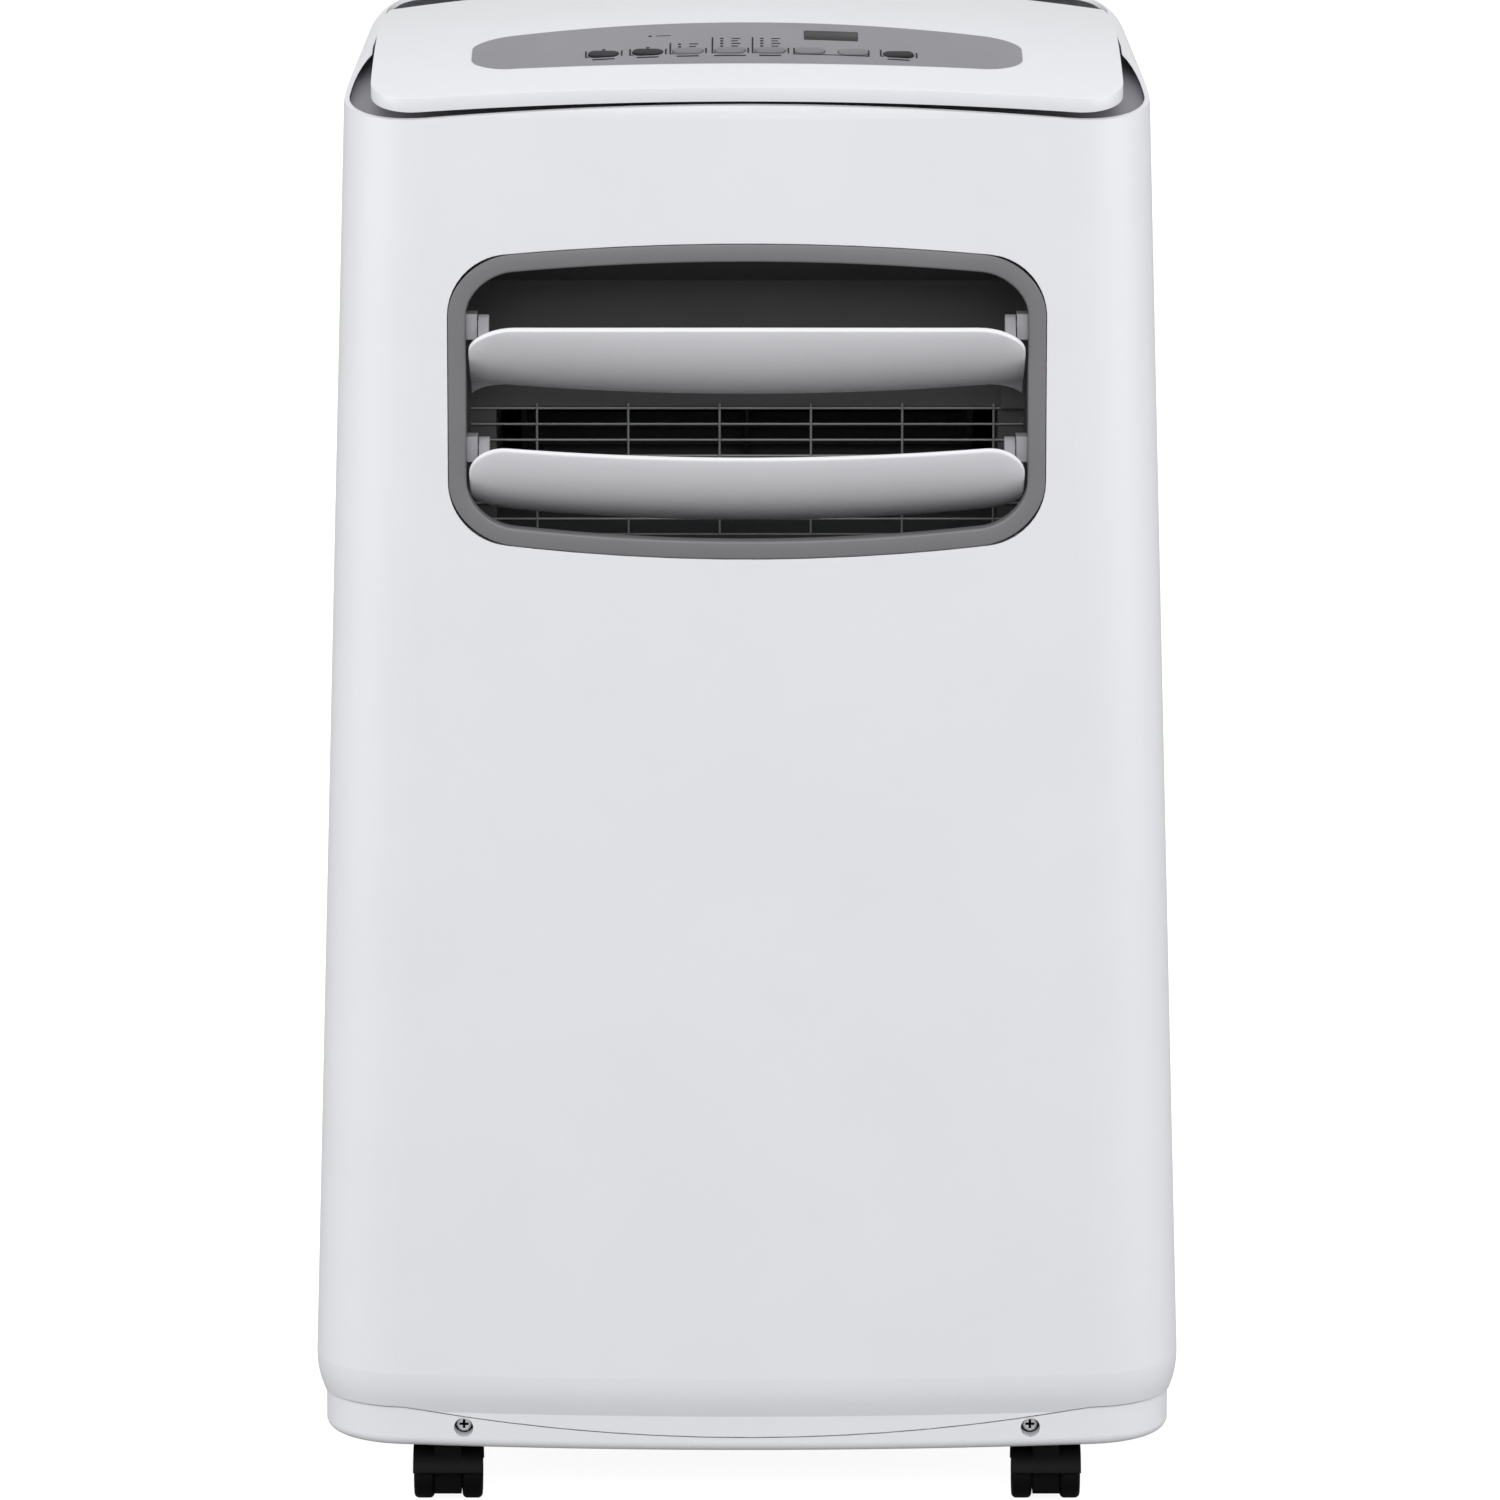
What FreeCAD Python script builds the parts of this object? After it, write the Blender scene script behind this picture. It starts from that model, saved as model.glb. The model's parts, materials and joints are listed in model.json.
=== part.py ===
import FreeCAD, Part
import math
import os
import re
from types import SimpleNamespace

import Sketcher

# Portable air conditioner. Millimetres, +Z up, front towards -Y, origin on the floor under the middle.

SIZES = {
    # casing
    "body_width": 448.5,            # at the widest height
    "side_lean": 19.55,             # each side's step in from there to the shoulder
    "front_reach": 187.0,           # from the middle to the front, low down
    "front_lean": 6.0,              # the front's step back from there to the shoulder
    "rear_reach": 187.0,
    "bow_radius": 1400.0,           # of the front, seen from above
    "front_corner": 50.0,
    "rear_corner": 45.0,
    "wall": 2.5,
    "base_over_casters": 5.0,
    "base_straight": 19.0,          # upright part above the base's bottom
    "tuck_in": 4.8,                 # step back to the base
    "tuck_rise": 21.0,
    "shoulder_height": 722.0,
    "shoulder_radius": 28.0,
    "shoulder_angle": 80.0,
    "seam_rise": 2.4,               # shell to base, at the sides, over the upright part
    "seam_dip": 13.4,               # how much lower it is in front
    "seam_radius": 1190.0,
    "seam_gap": 0.5,
    "split_reach": 60.0,            # front shell to rear panel
    # top
    "apex_rise": 44.5,              # over the shoulder
    "apex_forward": 30.0,
    "front_arc": 407.0,
    "rear_arc": 1500.0,
    "crown_radius": 1350.0,
    "crown_span": 28.0,
    "rim_rise": 6.6,
    "rim_slope": 13.7,
    "lid_side_inset": 14.7,
    "lid_front_inset": 1.0,
    "lid_rear_inset": 26.0,
    "lid_front_corner": 25.0,
    "lid_rear_corner": 40.0,
    "lid_gap": 2.5,
    "lid_well_reach": 80.0,         # behind this the shell closes up to the lid's outline
    "lid_plate": 3.0,
    "lid_edge": 7.0,
    "lid_skirt_inset": 12.0,
    "lid_skirt_wall": 3.0,
    "tray_drop": 18.0,
    "tray_plate": 2.5,
    "fit": 0.3,                     # between pieces that are only put together
    "run": 0.05,                    # radial, between a shaft and its hole
    "rest_gap": 0.1,                # under what stands on a floor or a deck
    # controls
    "overlay_length": 279.0,
    "overlay_width": 59.0,
    "overlay_setback": 55.5,        # behind the lid's front edge
    "overlay_corner": 20.0,
    "overlay_plate": 1.0,
    "overlay_proud": 0.3,
    "window_length": 27.5,
    "window_width": 15.0,
    "window_corner": 0.8,
    "window_side": 42.6,
    "window_behind": 9.0,           # behind the overlay's middle line
    "board_inset": 13.5,
    "board_side_inset": 3.5,
    "board_plate": 1.6,
    "board_before": 0.5,            # before the overlay's middle line
    "board_depth": 15.5,
    "board_slope": 13.5,
    "post_inset": 10.0,
    "post_spread": 16.0,
    "post_radius": 2.5,
    "switch_side": 6.0,
    "switch_height": 4.3,
    "key_length": 15.2,
    "key_width": 7.6,
    "key_row_start": 80.1,          # left end of the row, from the middle
    "key_before": 14.0,             # before the overlay's middle line
    "key_proud": 0.9,
    "key_travel": 0.8,
    "key_play": 0.35,
    "key_flange": 1.5,              # how much wider a key is under the lid
    "key_flange_plate": 1.3,
    "key_stem": 2.5,
    # air outlet
    "vent_drop": 143.0,             # its middle under the shoulder
    "vent_length": 302.0,
    "vent_width": 160.2,
    "vent_corner": 32.0,
    "vent_arc": 1200.0,
    "bezel_ring": 9.1,
    "bezel_depth": 9.0,
    "bezel_flange": 5.0,
    "duct_wall": 2.5,
    "duct_floor_inset": 5.1,
    "duct_ceiling_inset": 7.1,
    "duct_fall": 20.0,              # of the sloping ceiling, back to the rear wall
    "duct_depth": 48.0,             # behind the louver pivots
    "guard_step": 4.0,
    "guard_height": 66.0,
    "guard_inset": 13.4,
    "guard_bar": 1.2,
    "guard_pitch": 8.2,
    "guard_post_pitch": 46.8,
    "guard_post_shift": 14.04,      # the middle post is this far to the left
    "link_cover_length": 12.0,
    "link_cover_depth": 6.0,
    "link_cover_height": 20.0,
    # louvers
    "pivot_setback": 27.0,
    "upper_pivot_rise": 36.0,       # over the outlet's middle
    "lower_pivot_drop": 26.5,
    "blade_forward": 21.6,
    "blade_plate": 2.4,
    "blade_bulge": 6.0,
    "blade_corner": 24.0,
    "blade_ear": 20.0,
    "blade_gap": 1.5,
    "upper_blade_clear": 1.2,
    "upper_blade_down": 33.7,
    "lower_blade_clear": 5.5,
    "rest_angle": 54.0,
    "louver_pin": 2.5,
    "louver_arm": 5.5,
    "arm_boss": 6.0,
    "arm_bite": 0.4,                # how far an arm reaches into the blade's back
    "bearing_block": 5.5,
    "bearing_half": 6.5,
    "crank": 14.0,
    "crank_angle": 20.0,
    "crank_plate": 3.0,
    "crank_pin": 1.8,
    "link_plate": 2.5,
    "link_half": 4.0,
    "louver_motor_radius": 13.0,
    "louver_motor_length": 18.0,
    "louver_motor_offset": 8.0,
    "motor_ear": 5.0,
    "motor_ear_plate": 2.0,
    "motor_ear_half": 4.0,
    # base and casters
    "base_wall": 3.0,
    "base_floor": 3.5,
    "base_round": 5.0,
    "screw_side": 146.5,
    "screw_rise": 11.0,
    "screw_well": 5.0,
    "screw_well_depth": 10.0,
    "screw_head": 4.0,
    "screw_head_height": 2.6,
    "screw_shank": 1.95,
    "screw_length": 8.0,
    "caster_inset": 69.25,
    "caster_setback": 47.0,
    "caster_width": 36.0,
    "caster_trail": 17.0,
    "caster_radius": 13.0,
    "caster_wheel_width": 10.4,
    "caster_wheel_round": 2.5,
    "caster_web": 14.0,
    "caster_web_clear": 4.8,
    "caster_hood_gap": 1.2,
    "caster_hood_wall": 2.0,
    "caster_plate": 4.5,
    "caster_stem": 5.0,
    "caster_stem_length": 20.0,
    "caster_axle": 2.5,
    "caster_axle_inset": 0.8,
    # rear
    "intake_length": 300.0,
    "upper_intake_rise": 27.0,      # over the deck
    "upper_intake_drop": 32.0,      # under the shoulder
    "lower_intake_rise": 27.0,      # over the widest height
    "intake_margin": 14.0,          # under the hose
    "intake_corner": 12.0,
    "grille_frame": 9.0,
    "grille_depth": 8.0,
    "slat": 2.2,
    "slat_pitch": 9.0,
    "filter_plate": 2.0,
    "filter_lap": 4.0,
    "filter_rim": 6.0,
    "filter_rib": 3.0,
    "hose_height": 345.0,
    "hose_radius": 73.0,
    "hose_collar_wall": 2.5,
    "hose_collar_length": 25.0,
    "hose_collar_inside": 12.0,
    "hose_flange": 8.0,
    "hose_flange_plate": 3.0,
    "drain_side": 158.0,
    "upper_drain_height": 300.0,
    "fitting_rise": 11.0,           # low drain and cord gland, over the widest height
    "drain_radius": 7.0,
    "drain_flange": 10.0,
    "drain_flange_plate": 3.0,
    "drain_length": 12.0,
    "drain_grip": 6.0,
    "cord_side": 120.0,
    "cord_hole": 3.9,
    "gland_radius": 9.0,
    "gland_length": 14.0,
    "gland_flange_plate": 4.0,
    "handle_length": 112.0,
    "handle_width": 38.0,
    "handle_depth": 26.0,
    "handle_drop": 112.0,           # under the shoulder
    "handle_reach": -15.0,
    "handle_corner": 16.0,
    "handle_wall": 2.5,
    "handle_flange": 2.0,
    # inside
    "deck_plate": 4.0,
    "coil_short": 10.0,             # than the intakes
    "coil_depth": 34.0,
    "coil_setback": 55.0,
    "coil_pipe_pitch": 25.0,
    "coil_pipe_low": 20.0,
    "condenser_height": 190.0,
    "evaporator_short": 2.0,        # than the upper intake
    "fin_pitch": 9.0,
    "fin_plate": 1.0,
    "drum_radius": 88.0,
    "drum_gap": 14.0,               # before the evaporator
    "drum_inlet": 62.0,
    "drum_leg": 8.0,
    "drum_leg_inset": 10.0,
    "drum_leg_half": 30.0,
    "cage_gap": 18.0,               # round a wheel in the evaporator's drum
    "cage_end_gap": 13.0,
    "cage_blade": 11.0,
    "cage_blade_plate": 1.2,
    "cage_plate": 2.0,
    "cage_ring": 3.0,
    "cage_hub": 24.0,
    "blower_shaft": 4.0,
    "shaft_reach": 30.0,            # past the drum, into the motor
    "hub_radius": 12.0,
    "motor_radius": 42.0,
    "motor_length": 38.0,
    "motor_gap": 4.2,               # to the condenser's scroll
    "motor_side_gap": 6.0,          # to the evaporator's drum
    "motor_nose": 4.0,
    "motor_round": 4.0,
    "stand_length": 50.0,
    "stand_width": 20.0,
    "stand_back": 14.0,
    "stand_bite": 12.0,
    "side_stand_bite": 8.0,
    "shaft_play": 2.0,
    "scroll_radius": 92.0,
    "scroll_depth": 66.0,
    "scroll_gap": 4.0,              # before the condenser
    "tower_margin": 7.0,            # beside the hose
    "tower_clear": 13.0,            # behind it, to the rear panel's outside
    "impeller_gap": 20.0,
    "impeller_end_gap": 8.0,
    "slinger_side": 168.0,
    "slinger_height": 92.0,
    "slinger_radius": 38.0,
    "slinger_plate": 2.0,
    "slinger_rim": 3.0,
    "slinger_gap": 22.0,            # before the condenser
    "slinger_shaft_length": 24.0,
    "slinger_stand_depth": 18.0,
    "slinger_bore_play": 4.0,
    "slinger_motor_gap": 5.0,
    "slinger_motor_radius": 20.0,
    "slinger_motor_length": 30.0,
    "compressor_side": 120.0,
    "compressor_forward": 85.0,
    "compressor_radius": 58.0,
    "compressor_height": 230.0,
    "compressor_round": 24.0,
    "accumulator_radius": 22.3077,
    "accumulator_gap": 1.6923,
    "accumulator_height": 138.0,
    "accumulator_low": 65.5,
    "strap_width": 20.0,
    "strap_height": 12.0,
    "strap_rise": 60.0,
    "strap_bite": 12.0,
    "foot_height": 14.0,
    "foot_radius": 10.0,
    "foot_reach": 8.0,
    "foot_sink": 2.0,
    "foot_arm_length": 40.0,
    "foot_arm_width": 24.0,
    "foot_arm_plate": 3.0,
    "foot_arm_bite": 25.0,
    "pipe_radius": 4.0,
    "pipe_bend": 16.0,
    "pipe_rise": 40.0,              # over the deck, and out from the evaporator's end
    "pipe_hole": 20.0,
    "electrics_length": 150.0,
    "electrics_depth": 90.0,
    "electrics_height": 52.0,
    "electrics_gap": 8.0,
    "electrics_round": 3.0,
}

# What follows from the sizes above: each piece is placed from what carries it.
PLACES = {
    "body_top_width": "body_width - 2 * side_lean",
    "front_reach_top": "front_reach - front_lean",
    "base_bottom": "2 * caster_radius + base_over_casters",
    "tuck_bottom": "base_bottom + base_straight",
    "tuck_top": "tuck_bottom + tuck_rise",
    "seam_height": "tuck_bottom + seam_rise",
    "apex_height": "shoulder_height + apex_rise",
    "rim_height": "shoulder_height + rim_rise",
    "lid_width": "body_top_width - 2 * lid_side_inset",
    "lid_front": "front_reach_top - lid_front_inset",
    "lid_rear": "rear_reach - lid_rear_inset",
    "overlay_reach": "lid_front - overlay_setback",
    "window_reach": "overlay_reach - window_behind",
    "board_reach": "overlay_reach + board_before",
    "key_reach": "overlay_reach + key_before",
    "board_length": "overlay_length - 2 * board_inset",
    "board_width": "overlay_width - 2 * board_side_inset",
    "vent_height": "shoulder_height - vent_drop",
    "duct_floor": "vent_height - vent_width / 2 + duct_floor_inset",
    "duct_ceiling": "vent_height + vent_width / 2 - duct_ceiling_inset",
    "pivot_reach": "front_reach - pivot_setback",
    "duct_back": "pivot_reach - duct_depth",
    "guard_bottom": "duct_floor - guard_step",
    "guard_top": "guard_bottom + guard_height",
    "guard_length": "vent_length - 2 * bezel_ring - 2 * guard_inset",
    "upper_pivot": "vent_height + upper_pivot_rise",
    "lower_pivot": "vent_height - lower_pivot_drop",
    "blade_length": "vent_length - 2 * bezel_ring - 2 * blade_gap",
    "upper_blade_up": "vent_width / 2 - bezel_ring - upper_pivot_rise - upper_blade_clear",
    "lower_blade_down": "vent_width / 2 - bezel_ring - lower_pivot_drop - lower_blade_clear",
    "screw_height": "base_bottom + screw_rise",
    "caster_side": "body_width / 2 - caster_inset",
    "caster_front": "front_reach - caster_setback",
    "caster_rear": "rear_reach - caster_setback",
    "tower_half": "hose_radius + tower_margin",
    "deck_height": "hose_height + tower_half",
    "upper_intake_bottom": "deck_height + upper_intake_rise",
    "upper_intake_top": "shoulder_height - upper_intake_drop",
    "lower_drain_height": "tuck_top + fitting_rise",
    "cord_height": "tuck_top + fitting_rise",
    "lower_intake_bottom": "tuck_top + lower_intake_rise",
    "lower_intake_top": "hose_height - hose_radius - intake_margin",
    "handle_height": "shoulder_height - handle_drop",
    "coil_length": "intake_length - coil_short",
    "coil_reach": "rear_reach - coil_setback",
    "evaporator_height": "upper_intake_top - upper_intake_bottom - evaporator_short",
    "drum_length": "guard_length + 2 * wall",
    "drum_reach": "coil_reach - drum_gap - drum_radius",
    "drum_height": "guard_bottom - wall + drum_radius",
    "cage_radius": "drum_radius - cage_gap",
    "cage_length": "drum_length - 2 * cage_end_gap",
    "scroll_rear": "coil_reach - scroll_gap",
    "impeller_radius": "scroll_radius - impeller_gap",
    "impeller_depth": "scroll_depth - 2 * impeller_end_gap",
    "slinger_reach": "coil_reach - slinger_gap",
}

doc = FreeCAD.newDocument("portable_air_conditioner")
sheet = doc.addObject("Spreadsheet::Sheet", "sizes")
cells = {**{alias: str(number) for alias, number in SIZES.items()},
         **{alias: "=" + formula for alias, formula in PLACES.items()}}
for row, (alias, content) in enumerate(cells.items(), start=1):
    sheet.set(f"A{row}", alias)
    sheet.set(f"B{row}", content)
    sheet.setAlias(f"B{row}", alias)
doc.recompute()
dim = SimpleNamespace(**{alias: float(sheet.get(alias)) for alias in cells})

X_AXIS = FreeCAD.Vector(1, 0, 0)
Y_AXIS = FreeCAD.Vector(0, 1, 0)
Z_AXIS = FreeCAD.Vector(0, 0, 1)
FAR = 1000.0                        # reaches past the whole object
TURNED = {                          # a primitive's own Z laid along each axis
    "Z": FreeCAD.Rotation(),
    "Y": FreeCAD.Rotation(X_AXIS, -90),
    "X": FreeCAD.Rotation(Y_AXIS, 90),
}
pieces = []                         # the objects that are written out


# ---- helpers: parametric objects -----------------------------------------------------------

def in_sheet(formula):
    """The formula with every size name pointed at its spreadsheet cell."""
    return re.sub(r"[a-z_]+", lambda word: qualified(word.group()), str(formula))


def qualified(word):
    return f"sizes.{word}" if word in cells else word


def place(thing, at, turn=None):
    """Binds the thing's position to three formulas, one for each axis."""
    if turn is not None:
        thing.Placement = FreeCAD.Placement(FreeCAD.Vector(), turn)
    for letter, formula in zip("xyz", at):
        thing.setExpression(f"Placement.Base.{letter}", in_sheet(formula))
    return thing


def box(name, length, width, height, at):
    block = doc.addObject("Part::Box", name)
    block.setExpression("Length", in_sheet(length))
    block.setExpression("Width", in_sheet(width))
    block.setExpression("Height", in_sheet(height))
    return place(block, at)


def cylinder(name, radius, length, at, along="Z"):
    rod = doc.addObject("Part::Cylinder", name)
    rod.setExpression("Radius", in_sheet(radius))
    rod.setExpression("Height", in_sheet(length))
    return place(rod, at, TURNED[along])


def joined(name, *things):
    union = doc.addObject("Part::MultiFuse", name)
    union.Shapes = list(things)
    return union


def cut(name, base, *tools):
    difference = doc.addObject("Part::Cut", name)
    difference.Base = base
    difference.Tool = tools[0] if len(tools) == 1 else joined(name + "_tools", *tools)
    return difference


def tube(name, radius, bore, length, at, along="Z"):
    outside = cylinder(name + "_outside", radius, length, at, along)
    inside = cylinder(name + "_bore", bore, length, at, along)
    return cut(name, outside, inside)


def group(name, things):
    """Separate solids that share one node."""
    gathered = doc.addObject("Part::Compound", name)
    gathered.Links = list(things)
    return gathered


def feature(name, shape, at=FreeCAD.Vector(), turn=FreeCAD.Rotation()):
    """A shape worked out from the sheet's values where no parametric object fits."""
    made = doc.addObject("Part::Feature", name)
    made.Shape = shape
    made.Placement = FreeCAD.Placement(at, turn)
    return made


def piece(node, thing):
    """Gives the finished thing its node's name and puts it on the list to write."""
    thing.Label = node
    pieces.append((node, thing))
    return thing


# ---- helpers: PartDesign -------------------------------------------------------------------

def design_body(name):
    return doc.addObject("PartDesign::Body", name)


def sketch_on(owner, name, plane, offset=None):
    """An empty sketch on one of the body's own planes; offset is a formula along its normal."""
    sketch = owner.newObject("Sketcher::SketchObject", name)
    base = [part for part in owner.Origin.OriginFeatures if part.Role == plane][0]
    sketch.AttachmentSupport = [(base, "")]
    sketch.MapMode = "FlatFace"
    if offset is not None:
        sketch.setExpression("AttachmentOffset.Base.z", in_sheet(offset))
    return sketch


def fix(sketch, constraint, formula, name):
    """Adds a named dimension and binds it to a formula."""
    sketch.addConstraint(constraint)
    sketch.renameConstraint(sketch.ConstraintCount - 1, name)
    sketch.setExpression(f"Constraints.{name}", in_sheet(formula))


def draw_circle(sketch, radius, name, start=10.0):
    circle = sketch.addGeometry(Part.Circle(FreeCAD.Vector(), Z_AXIS, start))
    sketch.addConstraint(Sketcher.Constraint("Coincident", circle, 3, -1, 1))
    fix(sketch, Sketcher.Constraint("Radius", circle, start), radius, name)


def draw_rectangle(sketch, name, left, low, width, height, start):
    """A rectangle held by its left and low distances from the sketch's origin."""
    x, y, w, h = start
    corners = [FreeCAD.Vector(x, y), FreeCAD.Vector(x + w, y),
               FreeCAD.Vector(x + w, y + h), FreeCAD.Vector(x, y + h)]
    sides = []
    for index, corner in enumerate(corners):
        sides.append(sketch.addGeometry(Part.LineSegment(corner, corners[(index + 1) % 4])))
    for index in range(4):
        sketch.addConstraint(Sketcher.Constraint("Coincident", sides[index], 2,
                                                 sides[(index + 1) % 4], 1))
    for index, way in enumerate(("Horizontal", "Vertical", "Horizontal", "Vertical")):
        sketch.addConstraint(Sketcher.Constraint(way, sides[index]))
    fix(sketch, Sketcher.Constraint("DistanceX", sides[0], 1, sides[0], 2, w), width, name + "_width")
    fix(sketch, Sketcher.Constraint("DistanceY", sides[1], 1, sides[1], 2, h), height, name + "_height")
    fix(sketch, Sketcher.Constraint("DistanceX", -1, 1, sides[0], 1, x), left, name + "_left")
    fix(sketch, Sketcher.Constraint("DistanceY", -1, 1, sides[0], 1, y), low, name + "_low")


def pad(owner, sketch, length, both_ways=False, reverse=False):
    grown = owner.newObject("PartDesign::Pad", sketch.Name + "_pad")
    grown.Profile = sketch
    grown.Midplane = both_ways
    grown.Reversed = reverse
    grown.setExpression("Length", in_sheet(length))
    return grown


def spread(owner, original, direction, length, count):
    """A row of copies of the feature over the length, the first in place."""
    row_of = owner.newObject("PartDesign::LinearPattern", original.Name + "_row")
    row_of.Originals = [original]
    row_of.Direction = direction
    row_of.setExpression("Length", in_sheet(length))
    row_of.Occurrences = count
    owner.Tip = row_of
    return row_of


# ---- helpers: casing geometry --------------------------------------------------------------

def arc(start, middle, end):
    return Part.Arc(start, middle, end).toShape()


def line(start, end):
    return Part.LineSegment(start, end).toShape()


def on_circle(centre, radius, degrees, z):
    angle = math.radians(degrees)
    return FreeCAD.Vector(centre[0] + radius * math.cos(angle), centre[1] + radius * math.sin(angle), z)


def plan_outline(half_width, front, rear, front_corner, rear_corner, bow, z):
    """Seen from above: bowed front, straight sides, flat back and round corners, all tangent."""
    bow_middle = bow - front
    corner_x = half_width - front_corner
    corner_y = bow_middle - math.sqrt((bow - front_corner) ** 2 - corner_x ** 2)
    lean = math.degrees(math.atan2(corner_y - bow_middle, corner_x))
    right = (corner_x, corner_y)
    left = (-corner_x, corner_y)
    back_right = (half_width - rear_corner, rear - rear_corner)
    back_left = (-back_right[0], back_right[1])
    start = FreeCAD.Vector(half_width, 0, z)
    right_tangent = on_circle(right, front_corner, lean, z)
    left_tangent = on_circle(left, front_corner, -180 - lean, z)
    return Part.Wire([
        line(start, on_circle(back_right, rear_corner, 0, z)),
        arc(on_circle(back_right, rear_corner, 0, z), on_circle(back_right, rear_corner, 45, z),
            on_circle(back_right, rear_corner, 90, z)),
        line(on_circle(back_right, rear_corner, 90, z), on_circle(back_left, rear_corner, 90, z)),
        arc(on_circle(back_left, rear_corner, 90, z), on_circle(back_left, rear_corner, 135, z),
            on_circle(back_left, rear_corner, 180, z)),
        line(on_circle(back_left, rear_corner, 180, z), on_circle(left, front_corner, 180, z)),
        arc(on_circle(left, front_corner, 180, z), on_circle(left, front_corner, -180 - lean / 2, z),
            left_tangent),
        arc(left_tangent, FreeCAD.Vector(0, -front, z), right_tangent),
        arc(right_tangent, on_circle(right, front_corner, lean / 2, z),
            on_circle(right, front_corner, 0, z)),
        line(on_circle(right, front_corner, 0, z), start),
    ])


def casing_outline(z, inset=0.0):
    """The casing's outer line at a height, or a line the inset inside it."""
    share = max(0.0, (z - dim.tuck_top) / (dim.shoulder_height - dim.tuck_top))
    half = (dim.body_width + share * (dim.body_top_width - dim.body_width)) / 2
    front = dim.front_reach + share * (dim.front_reach_top - dim.front_reach)
    return plan_outline(half - inset, front - inset, dim.rear_reach - inset,
                        dim.front_corner - inset, dim.rear_corner - inset, dim.bow_radius - inset, z)


def casing_core(inset, low=None, high=None):
    """The solid inside the casing's straight walls, the inset inside their outer face."""
    low = dim.tuck_top if low is None else low
    high = dim.shoulder_height if high is None else high
    return Part.makeLoft([casing_outline(low, inset), casing_outline(high, inset)], True, True)


def prism(outline, height):
    return Part.Face(outline).extrude(FreeCAD.Vector(0, 0, height))


def swept_round(profile, outline):
    sweep = Part.BRepOffsetAPI.MakePipeShell(outline)
    sweep.setFrenetMode(True)
    sweep.setTransitionMode(1)
    sweep.add(profile, False, False)
    sweep.build()
    sweep.makeSolid()
    return sweep.shape()


def turned_in(x, z, radius, degrees, upwards):
    """Three points of an arc that leaves (x, z) straight up or down and leans inwards."""
    points = []
    for part_way in (0, 0.5, 1):
        angle = math.radians(degrees * part_way)
        rise = radius * math.sin(angle) * (1 if upwards else -1)
        points.append(FreeCAD.Vector(x - radius + radius * math.cos(angle), 0, z + rise))
    return points


def lower_ring():
    """The wall below the widest height: it tucks in to the base and goes straight down."""
    half = dim.body_width / 2
    drop = dim.tuck_top - dim.tuck_bottom
    radius = (drop ** 2 + dim.tuck_in ** 2) / (2 * dim.tuck_in)
    turn = math.degrees(math.asin(drop / radius))
    outer = turned_in(half, dim.tuck_top, radius, turn, False)
    inner = [point - FreeCAD.Vector(dim.wall, 0, 0) for point in outer]
    outer_foot = FreeCAD.Vector(half - dim.tuck_in, 0, dim.base_bottom)
    inner_foot = outer_foot - FreeCAD.Vector(dim.wall, 0, 0)
    profile = Part.Wire([
        arc(*outer),
        line(outer[2], outer_foot),
        line(outer_foot, inner_foot),
        line(inner_foot, inner[2]),
        arc(inner[2], inner[1], inner[0]),
        line(inner[0], outer[0]),
    ])
    return swept_round(profile, casing_outline(dim.tuck_top))


def shoulder_band(outer_radius, inner_radius):
    """The rounded shoulder's wall between two radii about the same middle."""
    half = dim.body_top_width / 2
    middle = half - dim.shoulder_radius
    outer = turned_in(middle + outer_radius, dim.shoulder_height, outer_radius, dim.shoulder_angle, True)
    inner = turned_in(middle + inner_radius, dim.shoulder_height, inner_radius, dim.shoulder_angle, True)
    profile = Part.Wire([
        arc(*outer),
        line(outer[2], inner[2]),
        arc(inner[2], inner[1], inner[0]),
        line(inner[0], outer[0]),
    ])
    return swept_round(profile, casing_outline(dim.shoulder_height))


def revolved_about_crown(points_and_arcs):
    """Turns a face in the YZ plane about the level axis that gives the top its side-to-side crown."""
    axis_point = FreeCAD.Vector(0, 0, dim.apex_height - dim.crown_radius)
    face = Part.Face(Part.Wire(points_and_arcs))
    face.rotate(axis_point, Y_AXIS, -dim.crown_span / 2)
    return face.revolve(axis_point, Y_AXIS, dim.crown_span)


def top_height(y):
    """Height of the top surface on the middle line."""
    radius = dim.front_arc if y < -dim.apex_forward else dim.rear_arc
    return dim.apex_height - radius + math.sqrt(radius ** 2 - (y + dim.apex_forward) ** 2)


TOP_SPAN = 230.0                    # the top's surfaces are made this far to the front and the back
TOP_ROOT = dim.shoulder_height - 122 # and down to this height


def under_top(drop):
    """The solid under the crowned top surface, lowered by the drop."""
    def point(y, z):
        return FreeCAD.Vector(0, y, z)
    apex_y = -dim.apex_forward
    front_half = (apex_y - TOP_SPAN) / 2
    rear_half = (apex_y + TOP_SPAN) / 2
    front = point(-TOP_SPAN, top_height(-TOP_SPAN))
    rear = point(TOP_SPAN, top_height(TOP_SPAN))
    apex = point(apex_y, dim.apex_height)
    solid = revolved_about_crown([
        arc(front, point(front_half, top_height(front_half)), apex),
        arc(apex, point(rear_half, top_height(rear_half)), rear),
        line(rear, point(TOP_SPAN, TOP_ROOT)),
        line(point(TOP_SPAN, TOP_ROOT), point(-TOP_SPAN, TOP_ROOT)),
        line(point(-TOP_SPAN, TOP_ROOT), front),
    ])
    return solid.translated(FreeCAD.Vector(0, 0, -drop))


def over_rim():
    """Everything above the shell's sloping front rim."""
    slope = math.tan(math.radians(dim.rim_slope))
    low = dim.rim_height - slope * (TOP_SPAN - dim.front_reach_top)
    high = dim.rim_height + slope * (TOP_SPAN + dim.front_reach_top)
    corners = [FreeCAD.Vector(0, -TOP_SPAN, low), FreeCAD.Vector(0, TOP_SPAN, high),
               FreeCAD.Vector(0, TOP_SPAN, FAR), FreeCAD.Vector(0, -TOP_SPAN, FAR)]
    return revolved_about_crown(ring_of_lines(corners))


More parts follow.
